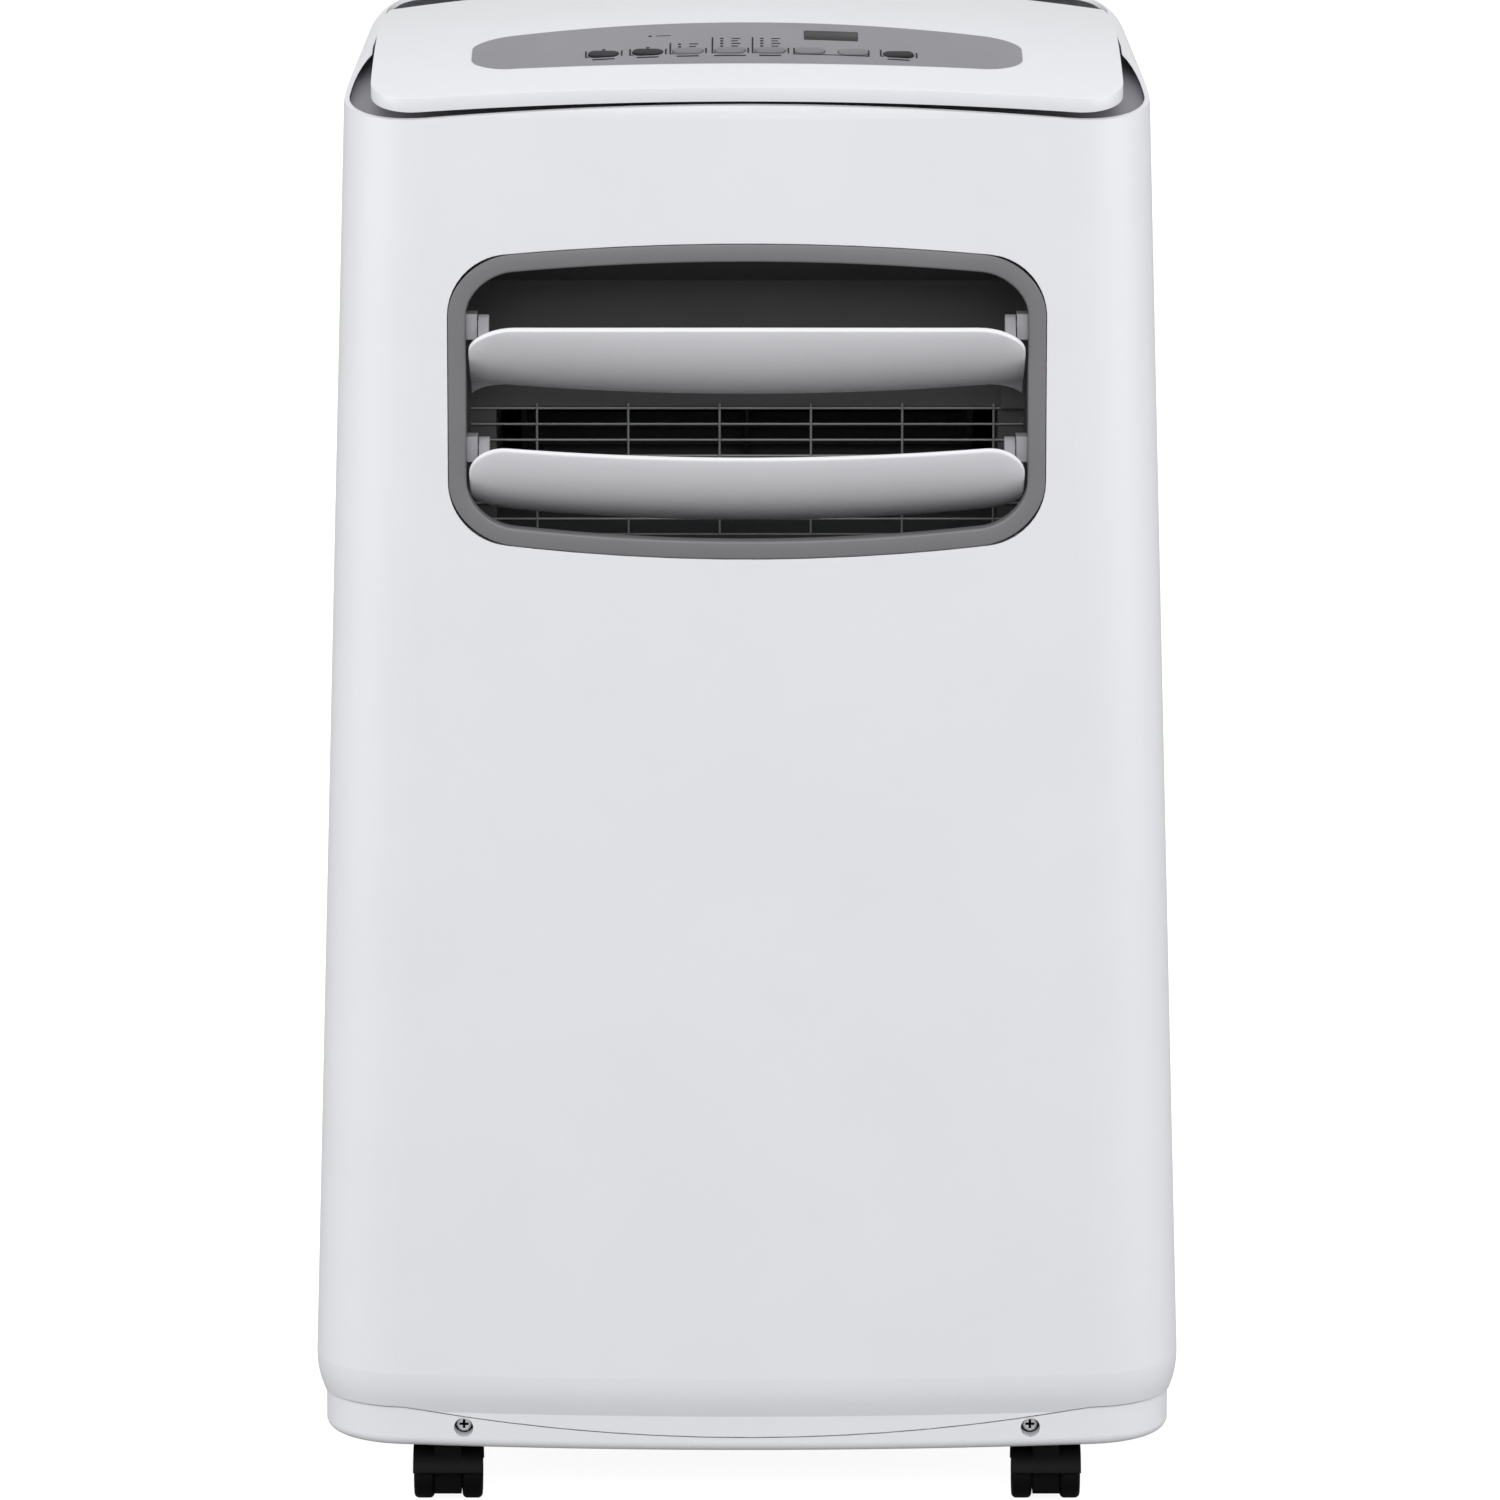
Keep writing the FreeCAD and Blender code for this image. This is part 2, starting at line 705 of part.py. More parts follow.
def ring_of_lines(corners):
    return [line(corner, corners[(index + 1) % len(corners)]) for index, corner in enumerate(corners)]


def lid_outline(z, outset=0.0):
    return plan_outline(dim.lid_width / 2 + outset, dim.lid_front + outset, dim.lid_rear + outset,
                        dim.lid_front_corner + outset, dim.lid_rear_corner + outset,
                        dim.bow_radius + outset, z)


def barrel(length, width, corner, arc_radius, low, depth):
    """A block with four round corners whose two long sides bulge outwards, upright along Z."""
    half_l = length / 2
    half_w = width / 2
    sag = arc_radius - math.sqrt(arc_radius ** 2 - half_l ** 2)
    corners = [FreeCAD.Vector(-half_l, sag - half_w, low), FreeCAD.Vector(half_l, sag - half_w, low),
               FreeCAD.Vector(half_l, half_w - sag, low), FreeCAD.Vector(-half_l, half_w - sag, low)]
    outline = Part.Wire([
        arc(corners[0], FreeCAD.Vector(0, -half_w, low), corners[1]),
        line(corners[1], corners[2]),
        arc(corners[2], FreeCAD.Vector(0, half_w, low), corners[3]),
        line(corners[3], corners[0]),
    ])
    block = Part.Face(outline).extrude(FreeCAD.Vector(0, 0, depth))
    upright = [edge for edge in block.Edges if is_along(edge, Z_AXIS)]
    return block.makeFillet(corner, upright)


def is_along(edge, axis):
    if not isinstance(edge.Curve, Part.Line):
        return False
    return abs(abs(edge.Curve.Direction.dot(axis)) - 1) < 1e-6


def vent_block(outset):
    """The air outlet's shape as a block through the front wall, grown by the outset."""
    block = barrel(dim.vent_length + 2 * outset, dim.vent_width + 2 * outset,
                   dim.vent_corner + outset, dim.vent_arc, 0, dim.front_reach)
    block.rotate(FreeCAD.Vector(), X_AXIS, 90)
    block.translate(FreeCAD.Vector(0, -dim.front_reach / 3, dim.vent_height))
    return block


def boxed(x_low, x_high, y_low, y_high, z_low, z_high):
    return Part.makeBox(x_high - x_low, y_high - y_low, z_high - z_low,
                        FreeCAD.Vector(x_low, y_low, z_low))


def rounded_box(x_low, x_high, y_low, y_high, z_low, z_high, radius, axis):
    block = boxed(x_low, x_high, y_low, y_high, z_low, z_high)
    return block.makeFillet(radius, [edge for edge in block.Edges if is_along(edge, axis)])


def rod(radius, length, x, y, z, axis):
    return Part.makeCylinder(radius, length, FreeCAD.Vector(x, y, z), axis)


# ---- casing ----------------------------------------------------------------------------------

def make_casing():
    """Front shell and rear panel in one, before they are split."""
    walls = casing_core(0).cut(casing_core(dim.wall))
    shoulder = shoulder_band(dim.shoulder_radius, dim.shoulder_radius - dim.wall)
    casing = lower_ring().fuse([walls, shoulder]).removeSplitter()
    lid_well = prism(lid_outline(TOP_ROOT, dim.lid_gap), FAR)
    lid_well = lid_well.common(boxed(-FAR, FAR, -dim.lid_well_reach, FAR, TOP_ROOT, FAR))
    return casing.cut([over_rim(), lid_well, under_seam()])


def seam_cylinder(radius):
    """The curve of the front seam, as a solid that lies above it."""
    middle = dim.seam_height - dim.seam_dip + dim.seam_radius
    return rod(radius, FAR, 0, -FAR - dim.front_reach / 2, middle, Y_AXIS)


def under_seam():
    return boxed(-FAR, FAR, -FAR, FAR, 0, dim.seam_height).cut(seam_cylinder(dim.seam_radius))


def behind_split(gap):
    return boxed(-FAR, FAR, dim.split_reach + gap, FAR, 0, FAR)


def handle_block(side, grow):
    """A handle cup's space, reaching from outside the wall to the depth of the cup."""
    inner = dim.body_top_width / 2 - dim.handle_depth - grow
    outer = dim.body_width / 2 + dim.wall
    low, high = sorted((side * inner, side * outer))
    half_l = dim.handle_length / 2 + grow
    half_w = dim.handle_width / 2 + grow
    return rounded_box(low, high, dim.handle_reach - half_l, dim.handle_reach + half_l,
                       dim.handle_height - half_w, dim.handle_height + half_w,
                       dim.handle_corner + grow, X_AXIS)


def intake_block(bottom, top):
    half = dim.intake_length / 2
    return rounded_box(-half, half, dim.rear_reach - dim.front_corner, dim.rear_reach + dim.wall,
                       bottom, top, dim.intake_corner, Y_AXIS)


def rear_hole(radius, x, z):
    return rod(radius, 2 * dim.wall + 2 * dim.fit, x, dim.rear_reach - 2 * dim.wall, z, Y_AXIS)


casing = make_casing()
vent_hole = vent_block(dim.fit)
handle_holes = [handle_block(side, dim.handle_wall + dim.fit) for side in (-1, 1)]
front_shell = casing.cut([behind_split(-dim.seam_gap / 2), vent_hole] + handle_holes)
piece("front_shell", feature("front_shell", front_shell))

rear_holes = [
    intake_block(dim.upper_intake_bottom, dim.upper_intake_top),
    intake_block(dim.lower_intake_bottom, dim.lower_intake_top),
    rear_hole(dim.hose_radius + dim.hose_collar_wall + dim.fit, 0, dim.hose_height),
    rear_hole(dim.drain_radius + dim.run, dim.drain_side, dim.upper_drain_height),
    rear_hole(dim.drain_radius + dim.run, dim.drain_side, dim.lower_drain_height),
    rear_hole(dim.gland_radius - dim.wall + dim.fit, -dim.cord_side, dim.cord_height),
]
rear_panel = casing.common(behind_split(dim.seam_gap / 2)).cut(rear_holes)
piece("rear_panel", feature("rear_panel", rear_panel))


def make_base_tray():
    top = dim.seam_height - dim.seam_gap
    outer = prism(casing_outline(dim.base_bottom, dim.tuck_in), top - dim.base_bottom)
    foot = [edge for edge in outer.Edges if edge.BoundBox.ZMax < dim.base_bottom + dim.fit]
    outer = outer.makeFillet(dim.base_round, foot)
    inside = prism(casing_outline(dim.base_bottom + dim.base_floor, dim.tuck_in + dim.base_wall), FAR)
    tray = outer.cut([inside, seam_cylinder(dim.seam_radius + dim.seam_gap)])
    bosses = []
    wells = []
    front = -(dim.front_reach - dim.tuck_in) + bow_drop(dim.screw_side)
    behind_wall = prism(casing_outline(dim.base_bottom, dim.tuck_in + dim.wall + dim.fit), FAR)
    half = dim.screw_well + dim.base_wall
    for side in (-1, 1):
        boss = boxed(side * dim.screw_side - half, side * dim.screw_side + half,
                     front, front + dim.screw_well_depth + dim.screw_length,
                     dim.base_bottom + dim.base_wall, dim.screw_height + half)
        bosses.append(boss.common(behind_wall))
        wells.append(rod(dim.screw_well, 2 * dim.screw_well_depth, side * dim.screw_side,
                         front - dim.screw_well_depth, dim.screw_height, Y_AXIS))
        wells.append(rod(dim.screw_shank + dim.run, dim.screw_well_depth + dim.screw_length,
                         side * dim.screw_side, front, dim.screw_height, Y_AXIS))
    for x, y in caster_mounts():
        bosses.append(rod(dim.caster_stem + dim.base_wall, dim.caster_stem_length,
                          x, y, dim.base_bottom + dim.base_wall / 2, Z_AXIS))
        wells.append(rod(dim.caster_stem + dim.run, dim.caster_stem_length - dim.base_wall,
                         x, y, dim.base_bottom - dim.fit, Z_AXIS))
    return tray.fuse(bosses).cut(wells).removeSplitter()


def bow_drop(x, radius=None):
    """How far the bow has fallen back at this distance from the middle."""
    radius = dim.bow_radius if radius is None else radius
    return radius - math.sqrt(radius ** 2 - x ** 2)


def caster_mounts():
    return [(side * dim.caster_side, y) for y in (-dim.caster_front, dim.caster_rear) for side in (-1, 1)]


piece("base_tray", feature("base_tray", make_base_tray()))


def make_screw():
    """Pan-head cross screw, its head's seat at the origin and its shank along +Y."""
    head = rod(dim.screw_head, dim.screw_head_height, 0, -dim.screw_head_height, 0, Y_AXIS)
    rim = [edge for edge in head.Edges if edge.BoundBox.YMax < dim.run - dim.screw_head_height]
    head = head.makeFillet(dim.screw_head_height / 2, rim)
    slot = dim.screw_head / 6
    reach = dim.screw_head * 0.6
    cross = boxed(-reach, reach, -FAR, -dim.screw_head_height / 2, -slot, slot)
    cross = cross.fuse(boxed(-slot, slot, -FAR, -dim.screw_head_height / 2, -reach, reach))
    shank = rod(dim.screw_shank, dim.screw_length - dim.fit, 0, 0, 0, Y_AXIS)
    return head.cut(cross).fuse(shank)


screws = []
screw_seat = -(dim.front_reach - dim.tuck_in) + bow_drop(dim.screw_side) + dim.screw_well_depth
for side in (-1, 1):
    screws.append(make_screw().translated(
        FreeCAD.Vector(side * dim.screw_side, screw_seat, dim.screw_height)))
piece("casing_screws", feature("casing_screws", Part.makeCompound(screws)))


# ---- top: tray, lid, controls --------------------------------------------------------------

def make_top_tray():
    outline = casing_outline(dim.shoulder_height, dim.wall + dim.fit)
    block = prism(outline, TOP_SPAN).translated(FreeCAD.Vector(0, 0, TOP_ROOT - dim.shoulder_height))
    plate = block.common(under_top(dim.tray_drop)).cut(under_top(dim.tray_drop + dim.tray_plate))
    outside = shoulder_band(FAR / 10, dim.shoulder_radius - dim.wall - dim.fit)
    return plate.cut(outside)


piece("top_tray", feature("top_tray", make_top_tray()))


def make_lid_blank():
    block = prism(lid_outline(TOP_ROOT), TOP_SPAN)
    plate = block.common(under_top(0))
    inner = prism(lid_outline(TOP_ROOT, -dim.lid_skirt_inset), TOP_SPAN)
    skirt_inside = prism(lid_outline(TOP_ROOT, -dim.lid_skirt_inset - dim.lid_skirt_wall), TOP_SPAN)
    edge = plate.cut(under_top(dim.lid_edge))
    skirt = plate.common(inner).cut(under_top(dim.tray_drop - dim.fit))
    hollow = skirt_inside.common(under_top(dim.lid_plate))
    overlay_seat = overlay_block(dim.fit / 2).cut(under_top(dim.overlay_plate - dim.overlay_proud))
    return edge.fuse(skirt).cut([hollow, overlay_seat])


def overlay_block(grow):
    block = barrel(dim.overlay_length + 2 * grow, dim.overlay_width + 2 * grow,
                   dim.overlay_corner + grow, dim.vent_arc, TOP_ROOT, TOP_SPAN)
    return block.translated(FreeCAD.Vector(0, -dim.overlay_reach, 0))


def window_block(grow):
    half_l = dim.window_length / 2 + grow
    half_w = dim.window_width / 2 + grow
    corner = dim.window_corner + grow
    return rounded_box(dim.window_side - half_l, dim.window_side + half_l,
                       -dim.window_reach - half_w, -dim.window_reach + half_w,
                       TOP_ROOT, TOP_ROOT + TOP_SPAN, corner, Z_AXIS)


BOARD_TURN = FreeCAD.Rotation(X_AXIS, dim.board_slope)
TOP_FORMULA = "apex_height - front_arc + sqrt(front_arc^2 - ({0} - apex_forward)^2)"
CROWN_FORMULA = "crown_radius - sqrt(crown_radius^2 - ({0})^2)"
BOARD_AT = ("0", "-board_reach", TOP_FORMULA.format("board_reach") + " - board_depth")
KEY_GAPS = {                        # from each key to the one on its left
    "sleep_key": 0.0,
    "fan_key": 7.1,
    "mode_key": 5.1,
    "swing_key": 6.1,
    "timer_key": 5.1,
    "minus_key": 4.7,
    "plus_key": 6.9,
    "power_key": 7.6,
}
KEYS = {}                           # how far each key's middle stands from the casing's
key_x = dim.key_length / 2 - dim.key_row_start
for name, gap in KEY_GAPS.items():
    key_x += gap
    KEYS[name] = round(key_x, 4)
    key_x += dim.key_length


def on_board(x, reach):
    """Formulas for the top surface over this place: along the board's slope, and square to it."""
    rise = f"({TOP_FORMULA.format(reach)} - ({CROWN_FORMULA.format(x)}) - ({BOARD_AT[2]}))"
    step = f"(board_reach - {reach})"
    along = f"{step} * cos(board_slope) + {rise} * sin(board_slope)"
    above = f"{rise} * cos(board_slope) - {step} * sin(board_slope)"
    return along, above


def pill(name, length, width, height, at):
    """A block with half-round ends, its middle at the place given."""
    x, y, z = at
    core = box(name + "_core", f"{length} - ({width})", width, height,
               (f"{x} - ({length} - ({width})) / 2", f"{y} - ({width}) / 2", z))
    ends = []
    for tag, sign in (("left", "-"), ("right", "+")):
        middle = f"{x} {sign} ({length} - ({width})) / 2"
        ends.append(cylinder(f"{name}_{tag}", f"({width}) / 2", height, (middle, y, z)))
    return joined(name, core, *ends)


def make_key(name, x):
    along, above = on_board(x, "key_reach")
    cap_base = f"{above} - lid_plate - fit - key_flange"
    cap = pill(name + "_cap", "key_length", "key_width",
               "lid_plate + fit + key_flange + key_proud", (x, along, cap_base))
    flange = pill(name + "_flange", "key_length + 2 * key_flange",
                  "key_width + 2 * key_flange", "key_flange_plate", (x, along, cap_base))
    stem = cylinder(name + "_stem", "key_stem", f"{cap_base} - switch_height - key_travel - run",
                    (x, along, "switch_height + key_travel + run"))
    return place(joined(name, cap, flange, stem), BOARD_AT, BOARD_TURN)


def make_key_hole(name, x):
    along, above = on_board(x, "key_reach")
    return pill(name + "_hole", "key_length + 2 * key_play", "key_width + 2 * key_play",
                "2 * lid_edge", (x, along, f"{above} - lid_edge"))


def make_switch(name, x):
    along, _ = on_board(x, "key_reach")
    return box(name + "_switch", "switch_side", "switch_side", "switch_height",
               (f"{x} - switch_side / 2", f"{along} - switch_side / 2", "0"))


key_holes = joined("key_holes", *[make_key_hole(name, x) for name, x in KEYS.items()])
place(key_holes, BOARD_AT, BOARD_TURN)
window_hole = feature("window_hole", window_block(dim.fit / 2))

posts = []
for tag, side in (("left", "-"), ("right", "+")):
    x = f"{side}(board_length / 2 - post_inset)"
    for end, reach in (("front", "(board_reach + post_spread)"), ("rear", "(board_reach - post_spread)")):
        along, above = on_board(x, reach)
        posts.append(cylinder(f"lid_post_{tag}_{end}", "post_radius", f"{above} - lid_plate / 2",
                              (x, along, "0")))
lid_posts = place(joined("lid_posts", *posts), BOARD_AT, BOARD_TURN)
lid_blank = feature("lid_blank", make_lid_blank())
lid_body = joined("lid_body", lid_blank, lid_posts)
piece("top_lid", cut("top_lid", lid_body, key_holes, window_hole))

overlay_shape = overlay_block(0).common(under_top(-dim.overlay_proud))
overlay_shape = overlay_shape.cut(under_top(dim.overlay_plate - dim.overlay_proud))
overlay_blank = feature("overlay_blank", overlay_shape)
piece("control_overlay", cut("control_overlay", overlay_blank, key_holes, window_hole))
window_shape = window_block(0).common(under_top(-dim.overlay_proud)).cut(under_top(dim.lid_plate))
piece("display_window", feature("display_window", window_shape))

board = box("control_board", "board_length", "board_width", "board_plate",
            ("-board_length / 2", "-board_width / 2", "-board_plate"))
display_stage = box("display_stage", "window_length", "window_width", "board_depth / 2",
                    ("window_side - window_length / 2", "board_reach - window_reach - window_width / 2",
                     "-rest_gap"))
board_made = joined("control_board_placed", board, display_stage)
piece("control_board", place(board_made, BOARD_AT, BOARD_TURN))
switches = group("tact_switches", [make_switch(name, x) for name, x in KEYS.items()])
piece("tact_switches", place(switches, BOARD_AT, BOARD_TURN))
for name, x in KEYS.items():
    piece(name, make_key(name, x))


# ---- air outlet ----------------------------------------------------------------------------

def make_bezel():
    ring = vent_block(0).cut(vent_block(-dim.bezel_ring))
    face = ring.common(casing_core(0)).cut(casing_core(dim.bezel_depth))
    flange = vent_block(dim.bezel_flange).cut(vent_block(-dim.bezel_ring))
    flange_front = dim.wall + dim.fit / 2
    flange = flange.common(casing_core(flange_front)).cut(casing_core(flange_front + dim.wall))
    return face.fuse(flange).removeSplitter()


VENT_HALF = dim.vent_length / 2 - dim.bezel_ring


def side_profile(points, half_length):
    """A solid with this outline in side view, as long as the air outlet."""
    corners = [FreeCAD.Vector(-half_length, y, z) for y, z in points]
    face = Part.Face(Part.Wire(ring_of_lines(corners)))
    return face.extrude(FreeCAD.Vector(2 * half_length, 0, 0))


def make_duct():
    wall = dim.duct_wall
    front = -dim.front_reach
    shelf = -dim.pivot_reach + 2 * dim.bearing_half
    sill = -dim.duct_back - wall
    outer = side_profile([(front, dim.duct_floor - wall), (sill, dim.guard_bottom - wall),
                          (-dim.duct_back + wall, dim.guard_bottom - wall),
                          (-dim.duct_back + wall, dim.guard_top + wall),
                          (-dim.duct_back + wall, dim.duct_ceiling - dim.duct_fall + wall),
                          (shelf, dim.duct_ceiling + wall), (front, dim.duct_ceiling + wall)],
                         VENT_HALF + wall)
    inner = side_profile([(front, dim.duct_floor), (sill, dim.guard_bottom),
                          (-dim.duct_back, dim.guard_bottom), (-dim.duct_back, dim.guard_top),
                          (-dim.duct_back - 2 * wall, dim.duct_ceiling - dim.duct_fall),
                          (shelf, dim.duct_ceiling), (front, dim.duct_ceiling)], VENT_HALF)
    half = dim.guard_length / 2
    window = boxed(-half, half, -dim.duct_back - wall, -dim.duct_back + 2 * wall,
                   dim.guard_bottom, dim.guard_top)
    shaft = rod(dim.louver_pin + dim.fit, FAR, 0, -dim.pivot_reach, dim.upper_pivot, X_AXIS)
    lower_shaft = rod(dim.louver_pin + dim.fit, FAR, 0, -dim.pivot_reach, dim.lower_pivot, X_AXIS)
    behind_bezel = casing_core(dim.bezel_depth + dim.fit / 2)
    link_cover = boxed(VENT_HALF - dim.link_cover_length, VENT_HALF, -dim.duct_back - dim.link_cover_depth,
                       -dim.duct_back, dim.guard_top, dim.guard_top + dim.link_cover_height)
    duct = outer.cut([inner, window, shaft, lower_shaft]).common(behind_bezel)
    return duct.fuse(link_cover).removeSplitter()


def make_guard():
    """Level and upright bars, each let into the others, in the duct's rear window."""
    back = -dim.duct_back + dim.duct_wall
    half = dim.guard_length / 2
    bar = dim.guard_bar
    frame = 2 * bar
    height = dim.guard_top - dim.guard_bottom
    outer = boxed(-half, half, back - frame, back, dim.guard_bottom, dim.guard_top)
    inner = boxed(-half + frame, half - frame, back - 2 * frame, back + frame,
                  dim.guard_bottom + frame, dim.guard_top - frame)
    grid = outer.cut(inner)
    bars = []
    for index in range(1, int(height / dim.guard_pitch)):
        z = dim.guard_top - index * dim.guard_pitch
        bars.append(boxed(-half + frame / 2, half - frame / 2, back - bar, back, z - bar / 2, z + bar / 2))
    first_post = math.ceil((dim.guard_post_shift + frame - half) / dim.guard_post_pitch)
    last_post = math.floor((dim.guard_post_shift - frame + half) / dim.guard_post_pitch)
    for index in range(first_post, last_post + 1):
        x = index * dim.guard_post_pitch - dim.guard_post_shift
        bars.append(boxed(x - bar / 2, x + bar / 2, back - frame, back - bar / 2,
                          dim.guard_bottom + frame / 2, dim.guard_top - frame / 2))
    return grid.fuse(bars).removeSplitter()


def make_bearings():
    blocks = []
    for height in (dim.upper_pivot, dim.lower_pivot):
        for side in (-1, 1):
            low, high = sorted((side * VENT_HALF, side * (VENT_HALF - dim.bearing_block)))
            block = boxed(low, high, -dim.pivot_reach - dim.bearing_half,
                          -dim.pivot_reach + dim.bearing_half,
                          height - dim.bearing_half, height + dim.bearing_half)
            blocks.append(block.cut(rod(dim.louver_pin + dim.run, FAR, -FAR / 2, -dim.pivot_reach,
                                        height, X_AXIS)))
    return Part.makeCompound(blocks)


piece("vent_bezel", feature("vent_bezel", make_bezel()))
piece("outlet_duct", feature("outlet_duct", make_duct()))
piece("outlet_guard", feature("outlet_guard", make_guard()))
piece("louver_bearings", feature("louver_bearings", make_bearings()))


# ---- louvers: modelled about the pivot with the blade shut, then turned to the rest angle -------

def blade_cutter(outline):
    return Part.Face(outline).extrude(FreeCAD.Vector(0, 3 * dim.blade_forward, 0))


def on_blade(x, z):
    return FreeCAD.Vector(x, -2 * dim.blade_forward, z)


def filleted_at(solid, radius, is_corner):
    edges = [edge for edge in solid.Edges if is_along(edge, Y_AXIS) and is_corner(edge.CenterOfMass)]
    return solid.makeFillet(radius, edges)


def upper_blade_shape():
    """Its lower corners end in ears that fit round the lower blade's top corners."""
    half = dim.blade_length / 2
    up = dim.upper_blade_up
    sag = bow_drop(half, dim.vent_arc)
    low = -dim.upper_blade_down
    ear_middle_z = low - dim.blade_gap - dim.blade_ear
    ear_radius = dim.blade_ear + dim.blade_gap
    tip_angle = math.degrees(math.acos(dim.blade_ear / ear_radius))

    def ear_point(side, degrees):
        angle = math.radians(degrees)
        return on_blade(side * (half - dim.blade_ear + ear_radius * math.cos(angle)),
                        ear_middle_z + ear_radius * math.sin(angle))

    halfway = (90 + tip_angle) / 2
    outline = Part.Wire([
        arc(on_blade(-half, up - sag), on_blade(0, up), on_blade(half, up - sag)),
        line(on_blade(half, up - sag), ear_point(1, tip_angle)),
        arc(ear_point(1, tip_angle), ear_point(1, halfway), ear_point(1, 90)),
        line(ear_point(1, 90), ear_point(-1, 90)),
        arc(ear_point(-1, 90), ear_point(-1, halfway), ear_point(-1, tip_angle)),
        line(ear_point(-1, tip_angle), on_blade(-half, up - sag)),
    ])
    cutter = filleted_at(blade_cutter(outline), dim.blade_corner, lambda centre: centre.z > 0)
    return blade_plate(up, dim.upper_blade_down, dim.blade_ear).common(cutter)


def bulge_radius(up, down):
    return ((up + down) ** 2 / 4 + dim.blade_bulge ** 2) / (2 * dim.blade_bulge)


def blade_plate(up, down, ear):
    """The curved plate, its section carried on a little past both edges and as far as the ears reach."""
    middle = (up - down) / 2
    high = up + dim.blade_gap
    low = -down - ear - dim.blade_gap

    def outer(z):
        return -dim.blade_forward - dim.blade_bulge + bow_drop(z - middle, bulge_radius(up, down))

    def point(y, z):
        return FreeCAD.Vector(0, y, z)

    centre = (high + low) / 2
    front_line = [point(outer(z), z) for z in (high, centre, low)]
    back_line = [corner + point(dim.blade_plate, 0) for corner in reversed(front_line)]
    section = Part.Wire([
        arc(*front_line),
        line(front_line[2], back_line[0]),
        arc(*back_line),
        line(back_line[2], front_line[0]),
    ])
    axis_point = point(dim.bow_radius - dim.blade_forward, 0)
    span = 2 * math.degrees(math.asin(dim.blade_length / 2 / (dim.bow_radius - 2 * dim.blade_forward)))
    face = Part.Face(section)
    face.rotate(axis_point, Z_AXIS, -span / 2)
    return face.revolve(axis_point, Z_AXIS, span)


def lower_blade_up():
    return dim.upper_pivot - dim.upper_blade_down - dim.blade_gap - dim.lower_pivot


def lower_blade_shape():
    half = dim.blade_length / 2
    up = lower_blade_up()
    sag = bow_drop(half, dim.vent_arc)
    low = -dim.lower_blade_down
    outline = Part.Wire([
        arc(on_blade(-half, low + sag), on_blade(0, low), on_blade(half, low + sag)),
        line(on_blade(half, low + sag), on_blade(half, up)),
        line(on_blade(half, up), on_blade(-half, up)),
        line(on_blade(-half, up), on_blade(-half, low + sag)),
    ])
    cutter = filleted_at(blade_cutter(outline), dim.blade_ear, lambda centre: centre.z > 0)
    cutter = filleted_at(cutter, dim.blade_corner, lambda centre: centre.z < 0)
    return blade_plate(up, dim.lower_blade_down, 0).common(cutter)


def make_louver(blade, up, down, shaft_end):
    """Blade with an arm at each end; a plain pin on the left, and a crank with its pin on the right."""
    arm_out = VENT_HALF - dim.bearing_block - dim.seam_gap
    arm_in = arm_out - dim.louver_arm
    middle = (up - down) / 2
    reach = dim.blade_forward + dim.blade_bulge - dim.blade_plate / 2 - bow_drop(arm_out)
    reach -= bow_drop(middle, bulge_radius(up, down)) + dim.arm_bite
    arms = []
    for side in (-1, 1):
        low, high = sorted((side * arm_in, side * arm_out))
        arms.append(boxed(low, high, -reach, 0, -dim.arm_boss + 1, dim.arm_boss - 1))
        arms.append(rod(dim.arm_boss, dim.louver_arm, low, 0, 0, X_AXIS))
    left_pin = rod(dim.louver_pin, dim.bearing_block, -arm_out - dim.bearing_block, 0, 0, X_AXIS)
    louver = blade.fuse(arms + [left_pin])
    louver = louver.cut(rod(dim.louver_pin, dim.louver_arm, arm_in, 0, 0, X_AXIS)).removeSplitter()
    return Part.makeCompound([louver, make_crank(arm_in, shaft_end)])


def crank_offset():
    """From pivot to crank pin in the shut pose, so that it points back and up at rest."""
    angle = math.radians(dim.crank_angle - dim.rest_angle)
    return dim.crank * math.cos(angle), dim.crank * math.sin(angle)


CRANK_X = VENT_HALF + dim.duct_wall + dim.seam_gap
LINK_X = CRANK_X + dim.crank_plate + dim.fit


def make_crank(pin_start, shaft_end):
    y, z = crank_offset()
    shaft = rod(dim.louver_pin, shaft_end - pin_start, pin_start, 0, 0, X_AXIS)
    hub = rod(dim.link_half, dim.crank_plate, CRANK_X, 0, 0, X_AXIS)
    eye = rod(dim.link_half, dim.crank_plate, CRANK_X, y, z, X_AXIS)
    web = boxed(CRANK_X, CRANK_X + dim.crank_plate, 0, dim.crank, 1 - dim.link_half, dim.link_half - 1)
    web.rotate(FreeCAD.Vector(), X_AXIS, dim.crank_angle - dim.rest_angle)
    pin_length = dim.crank_plate + dim.fit + dim.link_plate + dim.seam_gap
    pin = rod(dim.crank_pin, pin_length, CRANK_X, y, z, X_AXIS)
    return shaft.fuse([hub, eye, web, pin]).removeSplitter()


def make_link():
    """Flat bar with an eye over each crank pin."""
    back = -dim.pivot_reach + dim.crank * math.cos(math.radians(dim.crank_angle))
    rise = dim.crank * math.sin(math.radians(dim.crank_angle))
    ends = [dim.upper_pivot + rise, dim.lower_pivot + rise]
    bar = boxed(LINK_X, LINK_X + dim.link_plate, back - dim.link_half + 1, back + dim.link_half - 1,
                ends[1], ends[0])
    eyes = [rod(dim.link_half, dim.link_plate, LINK_X, back, end, X_AXIS) for end in ends]
    holes = [rod(dim.crank_pin + dim.run, dim.link_plate, LINK_X, back, ends[0], X_AXIS),
             rod(dim.crank_pin + 2 * dim.fit, dim.link_plate, LINK_X, back, ends[1], X_AXIS)]
    return bar.fuse(eyes).cut(holes).removeSplitter()


